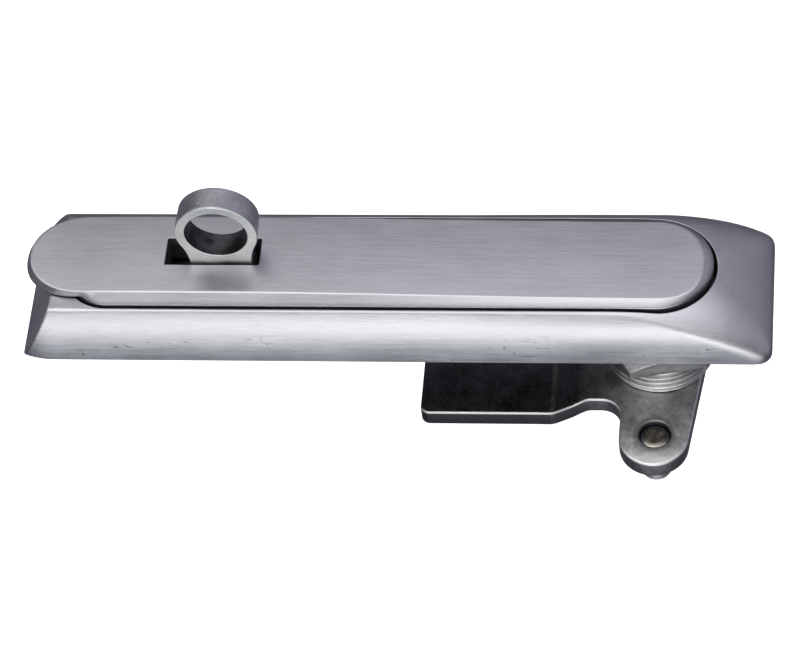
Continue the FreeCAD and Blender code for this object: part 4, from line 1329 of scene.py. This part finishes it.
def make_floor(studio):
    """The pale floor: a broad plate under the object, with a faint speckle, that only the camera sees."""
    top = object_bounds()[0].z / MM - studio.floor_drop / MM
    corners = [(-3000, -3000), (3000, -3000), (3000, 3000), (-3000, 3000)]
    floor = outline_block("floor", corners, top - 5.0, top)
    kit = Nodes("floor_pale")
    darker, lighter = tinted(studio.floor_colour, 0.985), tinted(studio.floor_colour, 1.01)
    kit.link(kit.mix(kit.noise(30.0, 3.0), darker, lighter), kit.shader.inputs["Base Color"])
    kit.shader.inputs["Roughness"].default_value = 0.9
    kit.shader.inputs["Emission Color"].default_value = (1.0, 1.0, 1.0, 1.0)
    kit.shader.inputs["Emission Strength"].default_value = 0.55
    floor.data.materials.append(kit.material)
    floor.visible_glossy = False
    floor.visible_diffuse = False
    floor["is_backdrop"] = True


def make_camera(scene):
    """The camera at the photograph's angle."""
    camera = bpy.data.cameras.new("camera")
    camera.lens = CAMERA_LENS
    camera.sensor_width = CAMERA_SENSOR
    camera.clip_start = 0.01
    camera.clip_end = 20.0
    azimuth, elevation = math.radians(CAMERA_AZIMUTH), math.radians(CAMERA_ELEVATION)
    roll = math.radians(CAMERA_ROLL)
    level = math.cos(elevation)
    forward = Vector((-math.sin(azimuth) * level, math.cos(azimuth) * level, -math.sin(elevation)))
    across = Vector((math.cos(azimuth), math.sin(azimuth), 0.0))
    upward = across.cross(forward)
    right = across * math.cos(roll) + upward * math.sin(roll)
    top = upward * math.cos(roll) - across * math.sin(roll)
    holder = bpy.data.objects.new("camera", camera)
    turn = Matrix((right, top, -forward)).transposed().to_4x4()
    holder.matrix_world = Matrix.Translation(CAMERA_PLACE) @ turn
    scene.collection.objects.link(holder)
    scene.camera = holder


def make_lamp(scene, name, place, aim, size, power):
    """A rectangular soft lamp that faces a point."""
    data = bpy.data.lights.new(name, "AREA")
    data.shape = "RECTANGLE"
    data.size, data.size_y = size
    data.energy = power
    lamp = bpy.data.objects.new(name, data)
    lamp.location = place
    lamp.rotation_euler = (Vector(aim) - Vector(place)).to_track_quat("-Z", "Y").to_euler()
    scene.collection.objects.link(lamp)


def make_room():
    """The room: white behind the object, and for everything else soft glows to the front and a dim, cooler
    back.
    With d the ray's direction, each glow is eased from the dot product of d and the glow's middle."""
    world = bpy.data.worlds.new("studio")
    world.use_nodes = True
    tree = world.node_tree
    tree.nodes.clear()
    link = tree.links.new

    def add(kind, **values):
        """Adds a node and sets its plain values."""
        node = tree.nodes.new(kind)
        for key, value in values.items():
            setattr(node, key, value)
        return node

    ray = add("ShaderNodeTexCoord").outputs["Generated"]
    glows = []
    for middle, low, high, tint, strength in ROOM_GLOWS:
        dot = add("ShaderNodeVectorMath", operation="DOT_PRODUCT")
        link(ray, dot.inputs[0])
        dot.inputs[1].default_value = Vector(middle).normalized()
        ease = add("ShaderNodeMapRange", interpolation_type="SMOOTHSTEP")
        ease.inputs["From Min"].default_value = low
        ease.inputs["From Max"].default_value = high
        link(dot.outputs["Value"], ease.inputs["Value"])
        scaled = add("ShaderNodeVectorMath", operation="SCALE")
        scaled.inputs[0].default_value = [channel * strength for channel in tint]
        link(ease.outputs["Result"], scaled.inputs["Scale"])
        glows.append(scaled.outputs["Vector"])
    total = glows[0]
    for glow in glows[1:]:
        both = add("ShaderNodeVectorMath", operation="ADD")
        link(total, both.inputs[0])
        link(glow, both.inputs[1])
        total = both.outputs["Vector"]
    room = add("ShaderNodeBackground")
    link(total, room.inputs["Color"])
    white = add("ShaderNodeBackground")
    white.inputs["Color"].default_value = (1.0, 1.0, 1.0, 1.0)
    mix = add("ShaderNodeMixShader")
    link(add("ShaderNodeLightPath").outputs["Is Camera Ray"], mix.inputs["Fac"])
    link(room.outputs["Background"], mix.inputs[1])
    link(white.outputs["Background"], mix.inputs[2])
    link(mix.outputs["Shader"], add("ShaderNodeOutputWorld").inputs["Surface"])
    return world


class LATCH_OT_stage(LatchOperator):
    """Set the camera at the photograph's angle, a pale floor and soft lamps"""

    bl_idname = "latch.stage"
    bl_label = "Studio"

    def execute(self, context):
        scene = context.scene
        make_camera(scene)
        make_floor(scene.latch_studio)
        make_lamp(scene, "front_softbox", (-0.06, -0.9, 0.12), (-0.04, 0.0, 0.0), (1.3, 0.25), 1.2)
        make_lamp(scene, "top_softbox", (-0.06, 0.05, 0.75), (-0.05, 0.0, 0.0), (0.7, 0.22), 0.5)
        scene.world = make_room()
        scene.view_settings.view_transform = "Standard"
        return {"FINISHED"}


class LATCH_PT_panel(bpy.types.Panel):
    """The latch's sizes, finishes and building steps."""

    bl_idname = "LATCH_PT_panel"
    bl_label = "Swing handle latch"
    bl_space_type = "VIEW_3D"
    bl_region_type = "UI"
    bl_category = "Latch"

    def draw(self, context):
        for group in GROUPS:
            holder = getattr(context.scene, group)
            for name in holder.bl_rna.properties.keys():
                if name not in {"rna_type", "name"}:
                    self.layout.prop(holder, name)
        for operator in OPERATORS:
            self.layout.operator(operator.bl_idname)


GROUPS = {
    "latch_housing": LatchHousingSizes,
    "latch_handle": LatchHandleSizes,
    "latch_boss": LatchBossSizes,
    "latch_finish": LatchFinish,
    "latch_studio": LatchStudio,
}
OPERATORS = (
    LATCH_OT_housing,
    LATCH_OT_handle,
    LATCH_OT_padlock_eye,
    LATCH_OT_nut,
    LATCH_OT_cam,
    LATCH_OT_inner_pieces,
    LATCH_OT_stage,
)


def register():
    """Registers the property groups, the operators and the panel."""
    for name, group in GROUPS.items():
        bpy.utils.register_class(group)
        setattr(bpy.types.Scene, name, bpy.props.PointerProperty(type=group))
    for item in (*OPERATORS, LATCH_PT_panel):
        bpy.utils.register_class(item)


def unregister():
    """Takes them away again."""
    for item in (LATCH_PT_panel, *reversed(OPERATORS)):
        bpy.utils.unregister_class(item)
    for name, group in reversed(GROUPS.items()):
        delattr(bpy.types.Scene, name)
        bpy.utils.unregister_class(group)


def main():
    """Builds every piece and the studio."""
    register()
    bpy.ops.latch.housing()
    bpy.ops.latch.handle()
    bpy.ops.latch.padlock_eye()
    bpy.ops.latch.nut()
    bpy.ops.latch.cam()
    bpy.ops.latch.inner_pieces()
    bpy.ops.latch.stage()
    bpy.context.view_layer.update()


if __name__ == "__main__":
    main()
